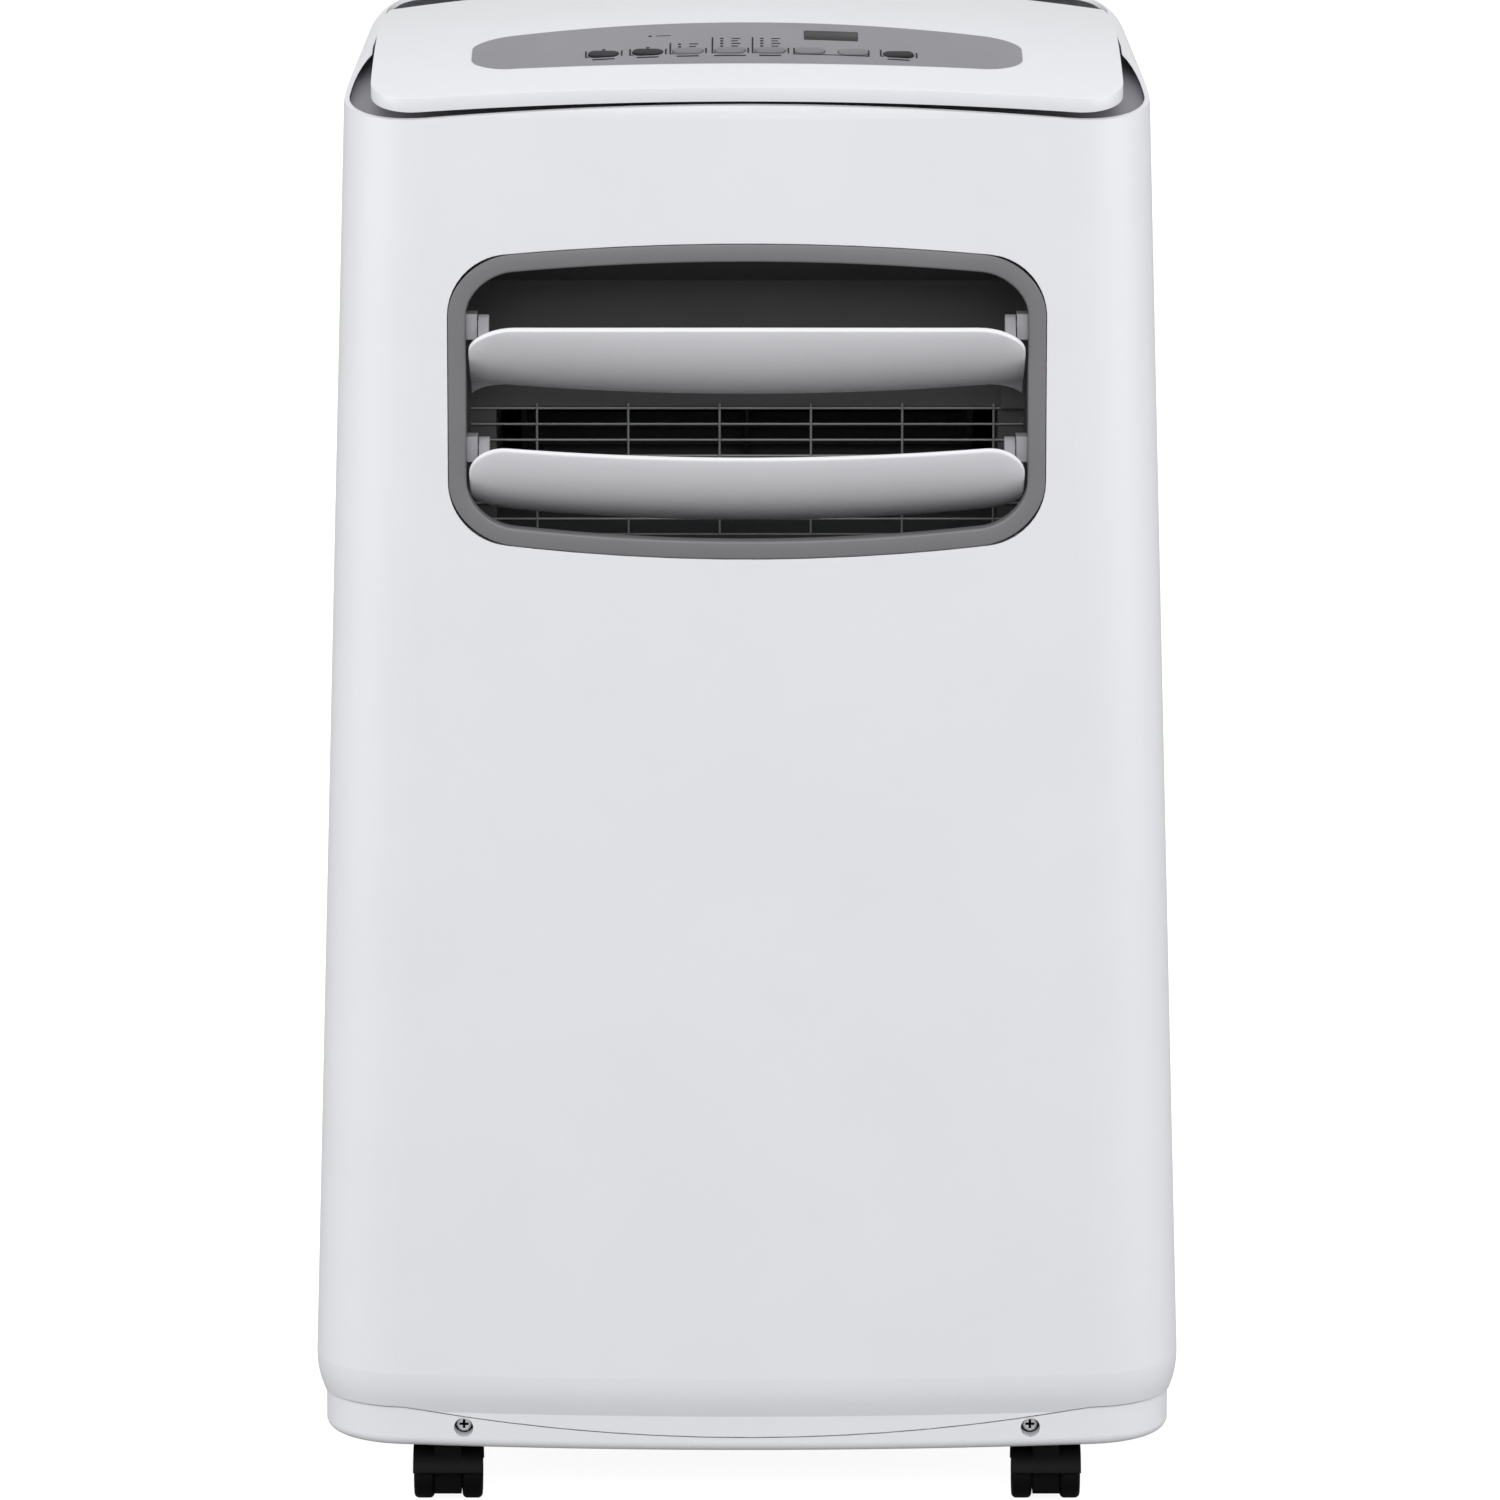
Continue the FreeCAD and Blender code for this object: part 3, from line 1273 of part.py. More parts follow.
def make_louver_motor():
    """Its shaft hole is off its own middle, and two pillars hold it to the duct."""
    start = LINK_X + dim.link_plate + 2 * dim.seam_gap
    length = dim.louver_motor_length
    middle_y = -dim.pivot_reach + dim.louver_motor_offset
    can = rod(dim.louver_motor_radius, length, start, middle_y, dim.upper_pivot, X_AXIS)
    pillars = []
    stand = dim.louver_motor_radius + dim.motor_ear
    plate = dim.motor_ear_plate
    half = dim.motor_ear_half
    for y, z in ((middle_y, dim.upper_pivot + stand), (-dim.pivot_reach, dim.upper_pivot - stand)):
        pillars.append(rod(dim.post_radius, start + plate - VENT_HALF - dim.duct_wall,
                           VENT_HALF + dim.duct_wall, y, z, X_AXIS))
    bar = boxed(start, start + plate, -dim.pivot_reach - half, middle_y + half,
                dim.upper_pivot - stand - half, dim.upper_pivot + stand + half)
    hole = rod(dim.louver_pin + dim.run, length / 2 + 1, start - 1, -dim.pivot_reach,
               dim.upper_pivot, X_AXIS)
    return can.fuse(pillars + [bar]).cut(hole).removeSplitter()


def pivot(height):
    return FreeCAD.Vector(0, -dim.pivot_reach, height)


REST_TURN = FreeCAD.Rotation(X_AXIS, dim.rest_angle)
motor_end = LINK_X + dim.link_plate + 2 * dim.seam_gap + dim.louver_motor_length / 3
crank_end = CRANK_X + dim.crank_plate
upper_louver = make_louver(upper_blade_shape(), dim.upper_blade_up, dim.upper_blade_down, motor_end)
lower_louver = make_louver(lower_blade_shape(), lower_blade_up(), dim.lower_blade_down, crank_end)
piece("upper_louver", feature("upper_louver", upper_louver, pivot(dim.upper_pivot), REST_TURN))
piece("lower_louver", feature("lower_louver", lower_louver, pivot(dim.lower_pivot), REST_TURN))
piece("louver_link", feature("louver_link", make_link()))
piece("louver_motor", feature("louver_motor", make_louver_motor()))


# ---- casters -------------------------------------------------------------------------------

def soften(name, base, radius, edge_numbers):
    """Rounds the base's numbered edges."""
    doc.recompute()
    rounded = doc.addObject("Part::Fillet", name)
    rounded.Base = base
    rounded.Edges = [(number, radius, radius) for number in edge_numbers]
    return rounded


def rim_edges(thing):
    doc.recompute()
    return [index for index, edge in enumerate(thing.Shape.Edges, start=1)
            if isinstance(edge.Curve, Part.Circle)]


def make_caster(tag, side, end):
    """Swivelling hood on a stem, then the axle with its two wheels beside the middle web."""
    x = f"{side}caster_side"
    mount = "caster_front" if end == "-" else "caster_rear"
    axle_y = f"{end}({mount} + caster_trail)"
    mount_y = f"{end}{mount}"
    top = "base_bottom - fit"
    hood_out = cylinder(f"hood_out_{tag}", "caster_radius + caster_hood_gap + caster_hood_wall",
                        "caster_width", (f"{x} - caster_width / 2", axle_y, "caster_radius"), "X")
    hood_in = cylinder(f"hood_in_{tag}", "caster_radius + caster_hood_gap", "caster_width + 2",
                       (f"{x} - caster_width / 2 - 1", axle_y, "caster_radius"), "X")
    below = box(f"hood_below_{tag}", "caster_width + 2", "4 * caster_radius", "2 * caster_radius + 4",
                (f"{x} - caster_width / 2 - 1", f"{axle_y} - 2 * caster_radius", "-caster_radius"))
    hood = cut(f"hood_{tag}", hood_out, hood_in, below)
    web_start = f"{mount_y} - 9" if end == "" else f"{axle_y} - caster_radius + 2"
    web = box(f"web_{tag}", "caster_web", "caster_trail + caster_radius + 7",
              f"{top} - caster_web_clear", (f"{x} - caster_web / 2", web_start, "caster_web_clear"))
    turntable = cylinder(f"turntable_{tag}", "caster_radius - 1", "caster_plate",
                         (x, mount_y, f"{top} - caster_plate"))
    stem = cylinder(f"stem_{tag}", "caster_stem", "caster_stem_length - base_wall - fit",
                    (x, mount_y, f"{top} - seam_gap"))
    bore = cylinder(f"axle_bore_{tag}", "caster_axle + run", "caster_web + 2",
                    (f"{x} - caster_web / 2 - 1", axle_y, "caster_radius"), "X")
    body_of = joined(f"caster_hood_{tag}_blank", hood, web, turntable, stem)
    piece(f"caster_hood_{tag}", cut(f"caster_hood_{tag}", body_of, bore))
    axle_half = "(caster_width / 2 - caster_axle_inset)"
    axle = cylinder(f"axle_{tag}", "caster_axle", f"2 * {axle_half}",
                    (f"{x} - {axle_half}", axle_y, "caster_radius"), "X")
    wheels = []
    for name, start in (("inner", f"{x} - caster_web / 2 - fit - caster_wheel_width"),
                        ("outer", f"{x} + caster_web / 2 + fit")):
        disc = cylinder(f"disc_{name}_{tag}", "caster_radius", "caster_wheel_width",
                        (start, axle_y, "caster_radius"), "X")
        round_disc = soften(f"round_disc_{name}_{tag}", disc, dim.caster_wheel_round, rim_edges(disc))
        wheels.append(cut(f"wheel_{name}_{tag}", round_disc, axle))
    piece(f"caster_wheels_{tag}", group(f"caster_wheels_{tag}", wheels + [axle]))


for end_name, end_sign in (("front", "-"), ("rear", "")):
    for side_name, side_sign in (("left", "-"), ("right", "")):
        make_caster(f"{end_name}_{side_name}", side_sign, end_sign)


# ---- rear: grilles, filters, collar, drains, gland ------------------------------------------

def make_grille(node, bottom, top):
    """A round-cornered frame with level slats, let into the rear panel's opening."""
    owner = design_body(node)
    length = "(intake_length - 2 * fit)"
    height = f"({top} - {bottom} - 2 * fit)"
    frame_sketch = sketch_on(owner, node + "_frame", "XZ_Plane")
    start_h = dim.upper_intake_top - dim.upper_intake_bottom
    draw_rectangle(frame_sketch, "outside", f"-{length} / 2", "fit", length, height,
                   (-dim.intake_length / 2, 0, dim.intake_length, start_h))
    draw_rectangle(frame_sketch, "inside", f"grille_frame - {length} / 2", "fit + grille_frame",
                   f"{length} - 2 * grille_frame", f"{height} - 2 * grille_frame",
                   (-dim.intake_length / 3, start_h / 4, dim.intake_length / 1.5, start_h / 2))
    frame = pad(owner, frame_sketch, "grille_depth")
    doc.recompute()
    half = dim.intake_length / 2 - dim.fit
    outer_corners = [f"Edge{index}" for index, edge in enumerate(frame.Shape.Edges, start=1)
                     if is_along(edge, Y_AXIS) and abs(abs(edge.CenterOfMass.x) - half) < dim.fit]
    rounded = owner.newObject("PartDesign::Fillet", node + "_corners")
    rounded.Base = (frame, outer_corners)
    rounded.setExpression("Radius", in_sheet("intake_corner - fit"))
    slat_sketch = sketch_on(owner, node + "_slat", "YZ_Plane")
    draw_rectangle(slat_sketch, "slat", "1 - grille_depth", "fit + grille_frame + slat_pitch - slat",
                   "grille_depth - 2", "slat", (-6, 12, 5, 2))
    slat = pad(owner, slat_sketch, f"{length} - grille_frame", both_ways=True)
    clear = getattr(dim, top) - getattr(dim, bottom) - 2 * dim.grille_frame
    count = int(clear / dim.slat_pitch) - 1
    spread(owner, slat, (slat_sketch, ["V_Axis"]), f"{count - 1} * slat_pitch", count)
    return piece(node, place(owner, ("0", "rear_reach", bottom)))


def make_filter(node, bottom, top):
    """Mesh panel with a stiff rim and ribs, held behind its grille."""
    rim = "grille_frame"
    length = f"(intake_length - 2 * {rim} + 2 * filter_lap)"
    height = f"({top} - {bottom} - 2 * {rim} + 2 * filter_lap)"
    y = "rear_reach - grille_depth - fit - filter_plate"
    low = f"{bottom} + {rim} - filter_lap"
    mesh = box(node + "_mesh", length, "filter_plate / 2", height, (f"-{length} / 2", y, low))
    outer = box(node + "_rim_outside", length, "filter_plate", height, (f"-{length} / 2", y, low))
    inner = box(node + "_rim_inside", f"{length} - 2 * filter_rim", "2 * filter_plate",
                f"{height} - 2 * filter_rim",
                (f"filter_rim - {length} / 2", f"{y} - filter_plate / 2", f"{low} + filter_rim"))
    ribs = []
    for index in range(1, 4):
        ribs.append(box(f"{node}_rib_{index}", "filter_rib", "filter_plate", height,
                        (f"{length} * ({index / 4} - 0.5) - filter_rib / 2", y, low)))
    return piece(node, joined(node, mesh, cut(node + "_rim", outer, inner), *ribs))


def make_plug(node, height):
    """Rubber drain plug: a flange outside the wall and a stem through it."""
    stem = cylinder(node + "_stem", "drain_radius", "drain_length",
                    ("drain_side", "rear_reach + fit / 2 - drain_length", height), "Y")
    flange = cylinder(node + "_flange", "drain_flange", "drain_flange_plate",
                      ("drain_side", "rear_reach + fit / 2", height), "Y")
    grip = box(node + "_grip", "drain_grip / 2", "drain_grip", "drain_flange",
               ("drain_side - drain_grip / 4", "rear_reach + fit", f"{height} - drain_flange / 2"))
    return piece(node, joined(node, stem, flange, grip))


for level in ("upper", "lower"):
    make_grille(f"{level}_intake_grille", f"{level}_intake_bottom", f"{level}_intake_top")
    make_filter(f"{level}_filter", f"{level}_intake_bottom", f"{level}_intake_top")
    make_plug(f"{level}_drain_plug", f"{level}_drain_height")

hose_at = ("0", "rear_reach - hose_collar_inside", "hose_height")
collar = tube("collar_wall", "hose_radius + hose_collar_wall", "hose_radius", "hose_collar_length",
              hose_at, "Y")
flange = tube("collar_flange", "hose_radius + hose_collar_wall + hose_flange", "hose_radius",
              "hose_flange_plate", ("0", "rear_reach + fit / 2", "hose_height"), "Y")
piece("exhaust_collar", joined("exhaust_collar", collar, flange))

gland_at = ("-cord_side", "rear_reach - gland_length + gland_flange_plate", "cord_height")
gland_stem = cylinder("gland_stem", "gland_radius - wall", "gland_length", gland_at, "Y")
gland_flange = cylinder("gland_flange", "gland_radius", "gland_flange_plate",
                        ("-cord_side", "rear_reach + fit / 2", "cord_height"), "Y")
gland = joined("gland_body", gland_stem, gland_flange)
gland_hole = cylinder("gland_hole", "cord_hole", "2 * gland_length",
                      ("-cord_side", "rear_reach - gland_length", "cord_height"), "Y")
piece("cord_gland", cut("cord_gland", gland, gland_hole))


def make_handle_cup(side):
    """A hollow for the fingers, flush with the side wall, with a flange behind the wall."""
    outer = handle_block(side, dim.handle_wall).common(casing_core(0))
    inner = handle_block(side, 0)
    flange = handle_block(side, 2 * dim.handle_wall + dim.handle_flange)
    flange = flange.common(casing_core(dim.wall + dim.fit / 2))
    flange = flange.cut(casing_core(2 * dim.wall + dim.fit / 2))
    return outer.fuse(flange).cut(inner).removeSplitter()


piece("handle_cup_left", feature("handle_cup_left", make_handle_cup(-1)))
piece("handle_cup_right", feature("handle_cup_right", make_handle_cup(1)))


# ---- inside, lower: compressor, condenser and its blower, slinger ---------------------------

DECK_TOP = "(deck_height + deck_plate)"
FLOOR = "(base_bottom + base_floor)"


def make_coil(node, low, height):
    """Fins on level tubes between two end plates."""
    owner = design_body(node)
    half = "(coil_length / 2)"
    end_sketch = sketch_on(owner, node + "_end", "YZ_Plane", f"-{half}")
    draw_rectangle(end_sketch, "plate", "0", "0", "coil_depth", height, (0, 0, 30, 200))
    end = pad(owner, end_sketch, "2 * fin_plate")
    spread(owner, end, (end_sketch, ["N_Axis"]), "coil_length - 2 * fin_plate", 2)
    fin_sketch = sketch_on(owner, node + "_fin", "YZ_Plane", f"fin_pitch - {half}")
    draw_rectangle(fin_sketch, "fin", "1", "2", "coil_depth - 2", f"{height} - 4", (1, 2, 28, 190))
    fin = pad(owner, fin_sketch, "fin_plate")
    fins = int(dim.coil_length / dim.fin_pitch) - 1
    spread(owner, fin, (fin_sketch, ["N_Axis"]), f"{fins - 1} * fin_pitch", fins)
    pipe_sketch = sketch_on(owner, node + "_pipe", "YZ_Plane")
    draw_rectangle(pipe_sketch, "pipe", "coil_depth / 2 - pipe_radius", "coil_pipe_low",
                   "2 * pipe_radius", "2 * pipe_radius", (10, 20, 8, 8))
    pipe = pad(owner, pipe_sketch, "coil_length", both_ways=True)
    pipes = int((getattr(dim, height) - 2 * dim.coil_pipe_low) / dim.coil_pipe_pitch)
    spread(owner, pipe, (pipe_sketch, ["V_Axis"]), f"{pipes - 1} * coil_pipe_pitch", pipes)
    return piece(node, place(owner, ("0", "coil_reach", low)))


def make_cage(node, plane, radius, length, at, blades):
    """Blower wheel: hub and back disc, curved row of blades, and a ring at each end."""
    owner = design_body(node)
    disc_sketch = sketch_on(owner, node + "_disc", plane)
    draw_circle(disc_sketch, radius, "disc_radius", 50)
    pad(owner, disc_sketch, "cage_plate", both_ways=True)
    hub_sketch = sketch_on(owner, node + "_hub", plane)
    draw_circle(hub_sketch, "hub_radius", "hub_radius", 12)
    pad(owner, hub_sketch, "cage_hub", both_ways=True)
    for tag, sign in (("near", "-"), ("far", "")):
        ring_sketch = sketch_on(owner, f"{node}_{tag}_ring", plane, f"{sign}({length} - cage_ring) / 2")
        draw_circle(ring_sketch, radius, "outside", 50)
        draw_circle(ring_sketch, f"{radius} - cage_blade", "inside", 40)
        pad(owner, ring_sketch, "cage_ring", both_ways=True)
    blade_sketch = sketch_on(owner, node + "_blade", plane)
    draw_rectangle(blade_sketch, "blade", f"{radius} - cage_blade + 0.5", "-cage_blade_plate / 2",
                   "cage_blade - 1", "cage_blade_plate", (40, -1, 10, 1))
    blade = pad(owner, blade_sketch, f"{length} - 2", both_ways=True)
    around = owner.newObject("PartDesign::PolarPattern", node + "_blades")
    around.Originals = [blade]
    around.Axis = (blade_sketch, ["N_Axis"])
    around.Angle = 360
    around.Occurrences = blades
    owner.Tip = around
    return place(owner, at)


make_coil("condenser_coil", FLOOR + " + fit", "condenser_height")
make_coil("evaporator_coil", DECK_TOP + " + fit", "evaporator_height")

compressor_at = ("compressor_side", "-compressor_forward", FLOOR + " + foot_height - foot_sink")
compressor_can = cylinder("compressor_can", "compressor_radius", "compressor_height", compressor_at)
compressor_round = soften("compressor_round", compressor_can, dim.compressor_round,
                          rim_edges(compressor_can))
accumulator_x = "(compressor_side - compressor_radius - accumulator_gap - accumulator_radius)"
accumulator = cylinder("accumulator", "accumulator_radius", "accumulator_height",
                       (accumulator_x, "-compressor_forward", FLOOR + " + accumulator_low"))
strap = box("accumulator_strap", f"compressor_side - {accumulator_x} - compressor_radius + strap_bite",
            "strap_width", "strap_height",
            (accumulator_x, "-compressor_forward - strap_width / 2",
             FLOOR + " + accumulator_low + strap_rise"))
feet = []
foot_plates = []
for index in range(3):
    angle = 90 + 120 * index
    x = f"compressor_side + (compressor_radius + foot_reach) * {math.cos(math.radians(angle)):.4f}"
    y = f"-compressor_forward + (compressor_radius + foot_reach) * {math.sin(math.radians(angle)):.4f}"
    feet.append(cylinder(f"compressor_foot_{index}", "foot_radius", "foot_height", (x, y, FLOOR)))
    arm = box(f"compressor_arm_{index}", "foot_arm_length", "foot_arm_width", "foot_arm_plate",
              ("compressor_radius - foot_arm_bite", "-foot_arm_width / 2", "0"))
    arm.Placement.Rotation = FreeCAD.Rotation(Z_AXIS, angle)
    foot_plates.append(arm)
piece("compressor_feet", group("compressor_feet", feet))
arms = place(joined("compressor_arms", *foot_plates),
             ("compressor_side", "-compressor_forward", FLOOR + " + foot_height"))
piece("compressor", joined("compressor", compressor_round, accumulator, strap, arms))


def make_condenser_scroll():
    """Drum round the condenser's wheel, and a tower that leads up and back to the hose collar."""
    wall = dim.wall
    front = dim.scroll_rear - dim.scroll_depth
    low = dim.base_bottom + dim.base_floor + dim.fit

    def drum(inset):
        return rod(dim.scroll_radius - inset, dim.scroll_depth - 2 * inset, 0, front + inset,
                   centre_z, Y_AXIS)

    def tower(inset):
        upper = boxed(-dim.tower_half + inset, dim.tower_half - inset, front + inset,
                      dim.rear_reach - dim.tower_clear - inset, tower_low + inset, tower_high - inset)
        lower = boxed(-dim.tower_half + inset, dim.tower_half - inset, front + inset,
                      dim.scroll_rear - inset, centre_z, tower_high - inset)
        return upper.fuse(lower)

    centre_z = low + dim.scroll_radius
    tower_low = dim.hose_height - dim.tower_half
    tower_high = dim.hose_height + dim.tower_half - dim.fit
    inlet = rod(dim.drum_inlet, 2 * wall, 0, dim.scroll_rear - 1.5 * wall, centre_z, Y_AXIS)
    outlet = rod(dim.hose_radius + dim.hose_collar_wall / 2, 3 * wall, 0,
                 dim.rear_reach - dim.tower_clear - 2 * wall, dim.hose_height, Y_AXIS)
    shaft = rod(dim.hub_radius + dim.shaft_play, 2 * wall, 0, front - wall / 2, centre_z, Y_AXIS)
    return drum(0).fuse(tower(0)).cut([drum(wall).fuse(tower(wall)), inlet, outlet, shaft]).removeSplitter()


piece("condenser_scroll", feature("condenser_scroll", make_condenser_scroll()))
WHEEL_HEIGHT = f"{FLOOR} + fit + scroll_radius"
wheel_middle = ("0", "scroll_rear - scroll_depth / 2", WHEEL_HEIGHT)
cage = make_cage("condenser_cage", "XZ_Plane", "impeller_radius", "impeller_depth", wheel_middle, 30)
condenser_shaft = cylinder("condenser_shaft", "blower_shaft", "scroll_depth / 2 + shaft_reach",
                           ("0", "scroll_rear - scroll_depth - shaft_reach", WHEEL_HEIGHT), "Y")
piece("condenser_blower_wheel", joined("condenser_blower_wheel", cage, condenser_shaft))


def make_motor(name, start, along):
    """A can with a shaft bore, its bearing nose towards the wheel."""
    x, y, z = start
    can = cylinder(name + "_can", "motor_radius", "motor_length", start, along)
    can = soften(name + "_round", can, dim.motor_round, rim_edges(can))
    nose_start = {"X": (f"{x} - motor_nose", y, z), "Y": (x, f"{y} + motor_length - seam_gap", z)}[along]
    nose = cylinder(name + "_nose", "hub_radius", "motor_nose + seam_gap", nose_start, along)
    bore_start = {"X": (f"{x} - motor_nose - 1", y, z),
                  "Y": (x, f"{y} + motor_length - shaft_reach", z)}[along]
    bore = cylinder(name + "_bore", "blower_shaft + run", "shaft_reach + motor_nose + 2", bore_start, along)
    return can, nose, bore


motor_start = ("0", "scroll_rear - scroll_depth - motor_length - motor_gap", WHEEL_HEIGHT)
can, nose, bore = make_motor("condenser_motor", motor_start, "Y")
stand = box("condenser_motor_stand", "stand_length", "stand_width",
            "scroll_radius - motor_radius + stand_bite",
            ("-stand_length / 2", "scroll_rear - scroll_depth - motor_length / 2 - stand_back",
             FLOOR + " + rest_gap"))
piece("condenser_motor", cut("condenser_motor", joined("condenser_motor_body", can, nose, stand), bore))

slinger_at = ("-slinger_side", "slinger_reach", "slinger_height")
slinger_disc = cylinder("slinger_disc", "slinger_radius", "slinger_plate", slinger_at, "Y")
slinger_rim = tube("slinger_rim", "slinger_radius", "slinger_radius - slinger_rim", "4 * slinger_plate",
                   slinger_at, "Y")
slinger_shaft = cylinder("slinger_shaft", "blower_shaft / 2", "slinger_shaft_length",
                         ("-slinger_side", "slinger_reach + slinger_plate - slinger_shaft_length",
                          "slinger_height"), "Y")
piece("slinger_wheel", joined("slinger_wheel", slinger_disc, slinger_rim, slinger_shaft))
slinger_can = cylinder("slinger_can", "slinger_motor_radius", "slinger_motor_length",
                       ("-slinger_side", "slinger_reach - slinger_motor_length - slinger_motor_gap",
                        "slinger_height"), "Y")
slinger_stand = box("slinger_stand", "slinger_motor_radius", "slinger_stand_depth",
                    f"slinger_height - {FLOOR} - slinger_motor_radius / 2",
                    ("-slinger_side - slinger_motor_radius / 2", "slinger_reach - slinger_motor_length",
                     FLOOR + " + rest_gap"))
slinger_bore = cylinder("slinger_bore", "blower_shaft / 2 + run", "slinger_motor_length",
                        ("-slinger_side", "slinger_reach + slinger_bore_play - slinger_motor_length",
                         "slinger_height"), "Y")
slinger_motor_body = joined("slinger_motor_body", slinger_can, slinger_stand)
piece("slinger_motor", cut("slinger_motor", slinger_motor_body, slinger_bore))


# ---- inside, upper: deck, evaporator blower, electrics, pipes --------------------------------

def make_deck():
    """Drain pan right across the casing, with a hole for the pipes."""
    outline = casing_outline(dim.deck_height, dim.wall + dim.fit)
    top_outline = casing_outline(dim.deck_height + dim.deck_plate, dim.wall + dim.fit)
    plate = Part.makeLoft([outline, top_outline], True, True)
    half = dim.pipe_hole
    pipes = boxed(dim.compressor_side - half, dim.compressor_side + half,
                  -dim.compressor_forward - half, -dim.compressor_forward + half, 0, FAR)
    return plate.cut(pipes)


piece("middle_deck", feature("middle_deck", make_deck()))


def make_evaporator_scroll():
    """Level drum with an inlet at each end, a throat tangent to it that meets the duct, and two legs."""
    wall = dim.wall
    half = dim.drum_length / 2
    mouth = -dim.duct_back + wall + dim.fit

    def inside_of(inset):
        """Drum and throat as one section, the inset inside their outer face."""
        radius = dim.drum_radius - inset
        low = dim.drum_height - radius
        high = dim.guard_top + wall - inset
        front = mouth - (wall if inset else 0)
        start = -half + inset

        def at(reach, height):
            return FreeCAD.Vector(start, reach, height)

        meets = dim.drum_reach - math.sqrt(radius ** 2 - (high - dim.drum_height) ** 2)
        section = Part.Wire([
            line(at(front, low), at(dim.drum_reach, low)),
            arc(at(dim.drum_reach, low), at(dim.drum_reach + radius, dim.drum_height), at(meets, high)),
            line(at(meets, high), at(front, high)),
            line(at(front, high), at(front, low)),
        ])
        return Part.Face(section).extrude(FreeCAD.Vector(2 * (half - inset), 0, 0))

    inlets = rod(dim.drum_inlet, 2 * half + 2 * wall, -half - wall, dim.drum_reach, dim.drum_height, X_AXIS)
    legs = []
    for side in (-1, 1):
        leg_x = side * (half - dim.drum_leg_inset)
        legs.append(boxed(leg_x - dim.drum_leg / 2, leg_x + dim.drum_leg / 2,
                          dim.drum_reach - dim.drum_leg_half, dim.drum_reach + dim.drum_leg_half,
                          dim.deck_height + dim.deck_plate + dim.rest_gap, dim.guard_bottom + 2 * wall))
    return inside_of(0).fuse(legs).cut([inside_of(wall), inlets]).removeSplitter()


piece("evaporator_scroll", feature("evaporator_scroll", make_evaporator_scroll()))
cage = make_cage("evaporator_cage", "YZ_Plane", "cage_radius", "cage_length",
                 ("0", "drum_reach", "drum_height"), 28)
evaporator_shaft = cylinder("evaporator_shaft", "blower_shaft", "drum_length / 2 + shaft_reach",
                            ("0", "drum_reach", "drum_height"), "X")
piece("evaporator_blower_wheel", joined("evaporator_blower_wheel", cage, evaporator_shaft))
can, nose, bore = make_motor("evaporator_motor", ("drum_length / 2 + motor_side_gap", "drum_reach",
                                                  "drum_height"), "X")
stand = box("evaporator_motor_stand", "stand_width", "stand_length",
            f"drum_height - motor_radius - {DECK_TOP} + side_stand_bite",
            ("drum_length / 2 + motor_side_gap + stand_width / 2", "drum_reach - stand_length / 2",
             DECK_TOP + " + rest_gap"))
piece("evaporator_motor", cut("evaporator_motor", joined("evaporator_motor_body", can, nose, stand), bore))

electrics = box("electrics_blank", "electrics_length", "electrics_depth", "electrics_height",
                ("-electrics_length / 2", "-duct_back + electrics_gap", DECK_TOP + " + rest_gap"))
piece("electrics_box", soften("electrics_box", electrics, dim.electrics_round, [1, 3, 5, 7]))


def make_pipes():
    """Copper pipe from the compressor's top, through the deck, to the evaporator's end."""
    top = dim.base_bottom + dim.base_floor + dim.foot_height - dim.foot_sink + dim.compressor_height
    level = dim.deck_height + dim.pipe_rise
    coil_end = dim.coil_length / 2
    outside = coil_end + dim.pipe_rise
    front = -dim.compressor_forward
    back = dim.coil_reach + dim.coil_depth / 2
    points = [
        FreeCAD.Vector(dim.compressor_side, front, top + dim.rest_gap),
        FreeCAD.Vector(dim.compressor_side, front, level),
        FreeCAD.Vector(outside, front, level),
        FreeCAD.Vector(outside, back, level),
        FreeCAD.Vector(coil_end + dim.rest_gap, back, level),
    ]
    return bent_pipe(points, dim.pipe_radius, dim.pipe_bend)


def bent_pipe(points, radius, bend):
    """Straight runs joined by tangent arcs at square corners."""
    edges = []
    start = points[0]
    for before, corner, after in zip(points, points[1:], points[2:]):
        into = (corner - before).normalize()
        out = (after - corner).normalize()
        first = corner - into * bend
        last = corner + out * bend
        middle = corner + (out - into) * bend * (1 - math.sqrt(0.5))
        edges.append(line(start, first))
        edges.append(arc(first, middle, last))
        start = last
    edges.append(line(start, points[-1]))
    path = Part.Wire(edges)
    end_circle = Part.Wire(Part.makeCircle(radius, points[0], points[1] - points[0]))
    return path.makePipeShell([end_circle], True, False)


piece("refrigerant_pipes", feature("refrigerant_pipes", make_pipes()))


# ---- check and write -------------------------------------------------------------------------

doc.recompute()
failed = [thing.Name for thing in doc.Objects if {"Invalid", "Error"} & set(thing.State)]
for node, thing in pieces:
    if thing.Shape.isNull() or not thing.Shape.isValid() or not thing.Shape.Solids:
        failed.append(node)
if failed:
    raise RuntimeError("these failed: " + ", ".join(failed))

os.makedirs("parts", exist_ok=True)
for node, thing in pieces:
    thing.Shape.exportStep(os.path.join("parts", node + ".step"))
print(len(pieces), "parts written")
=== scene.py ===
import json
import math

import bmesh
import bpy
from mathutils import Matrix, Vector


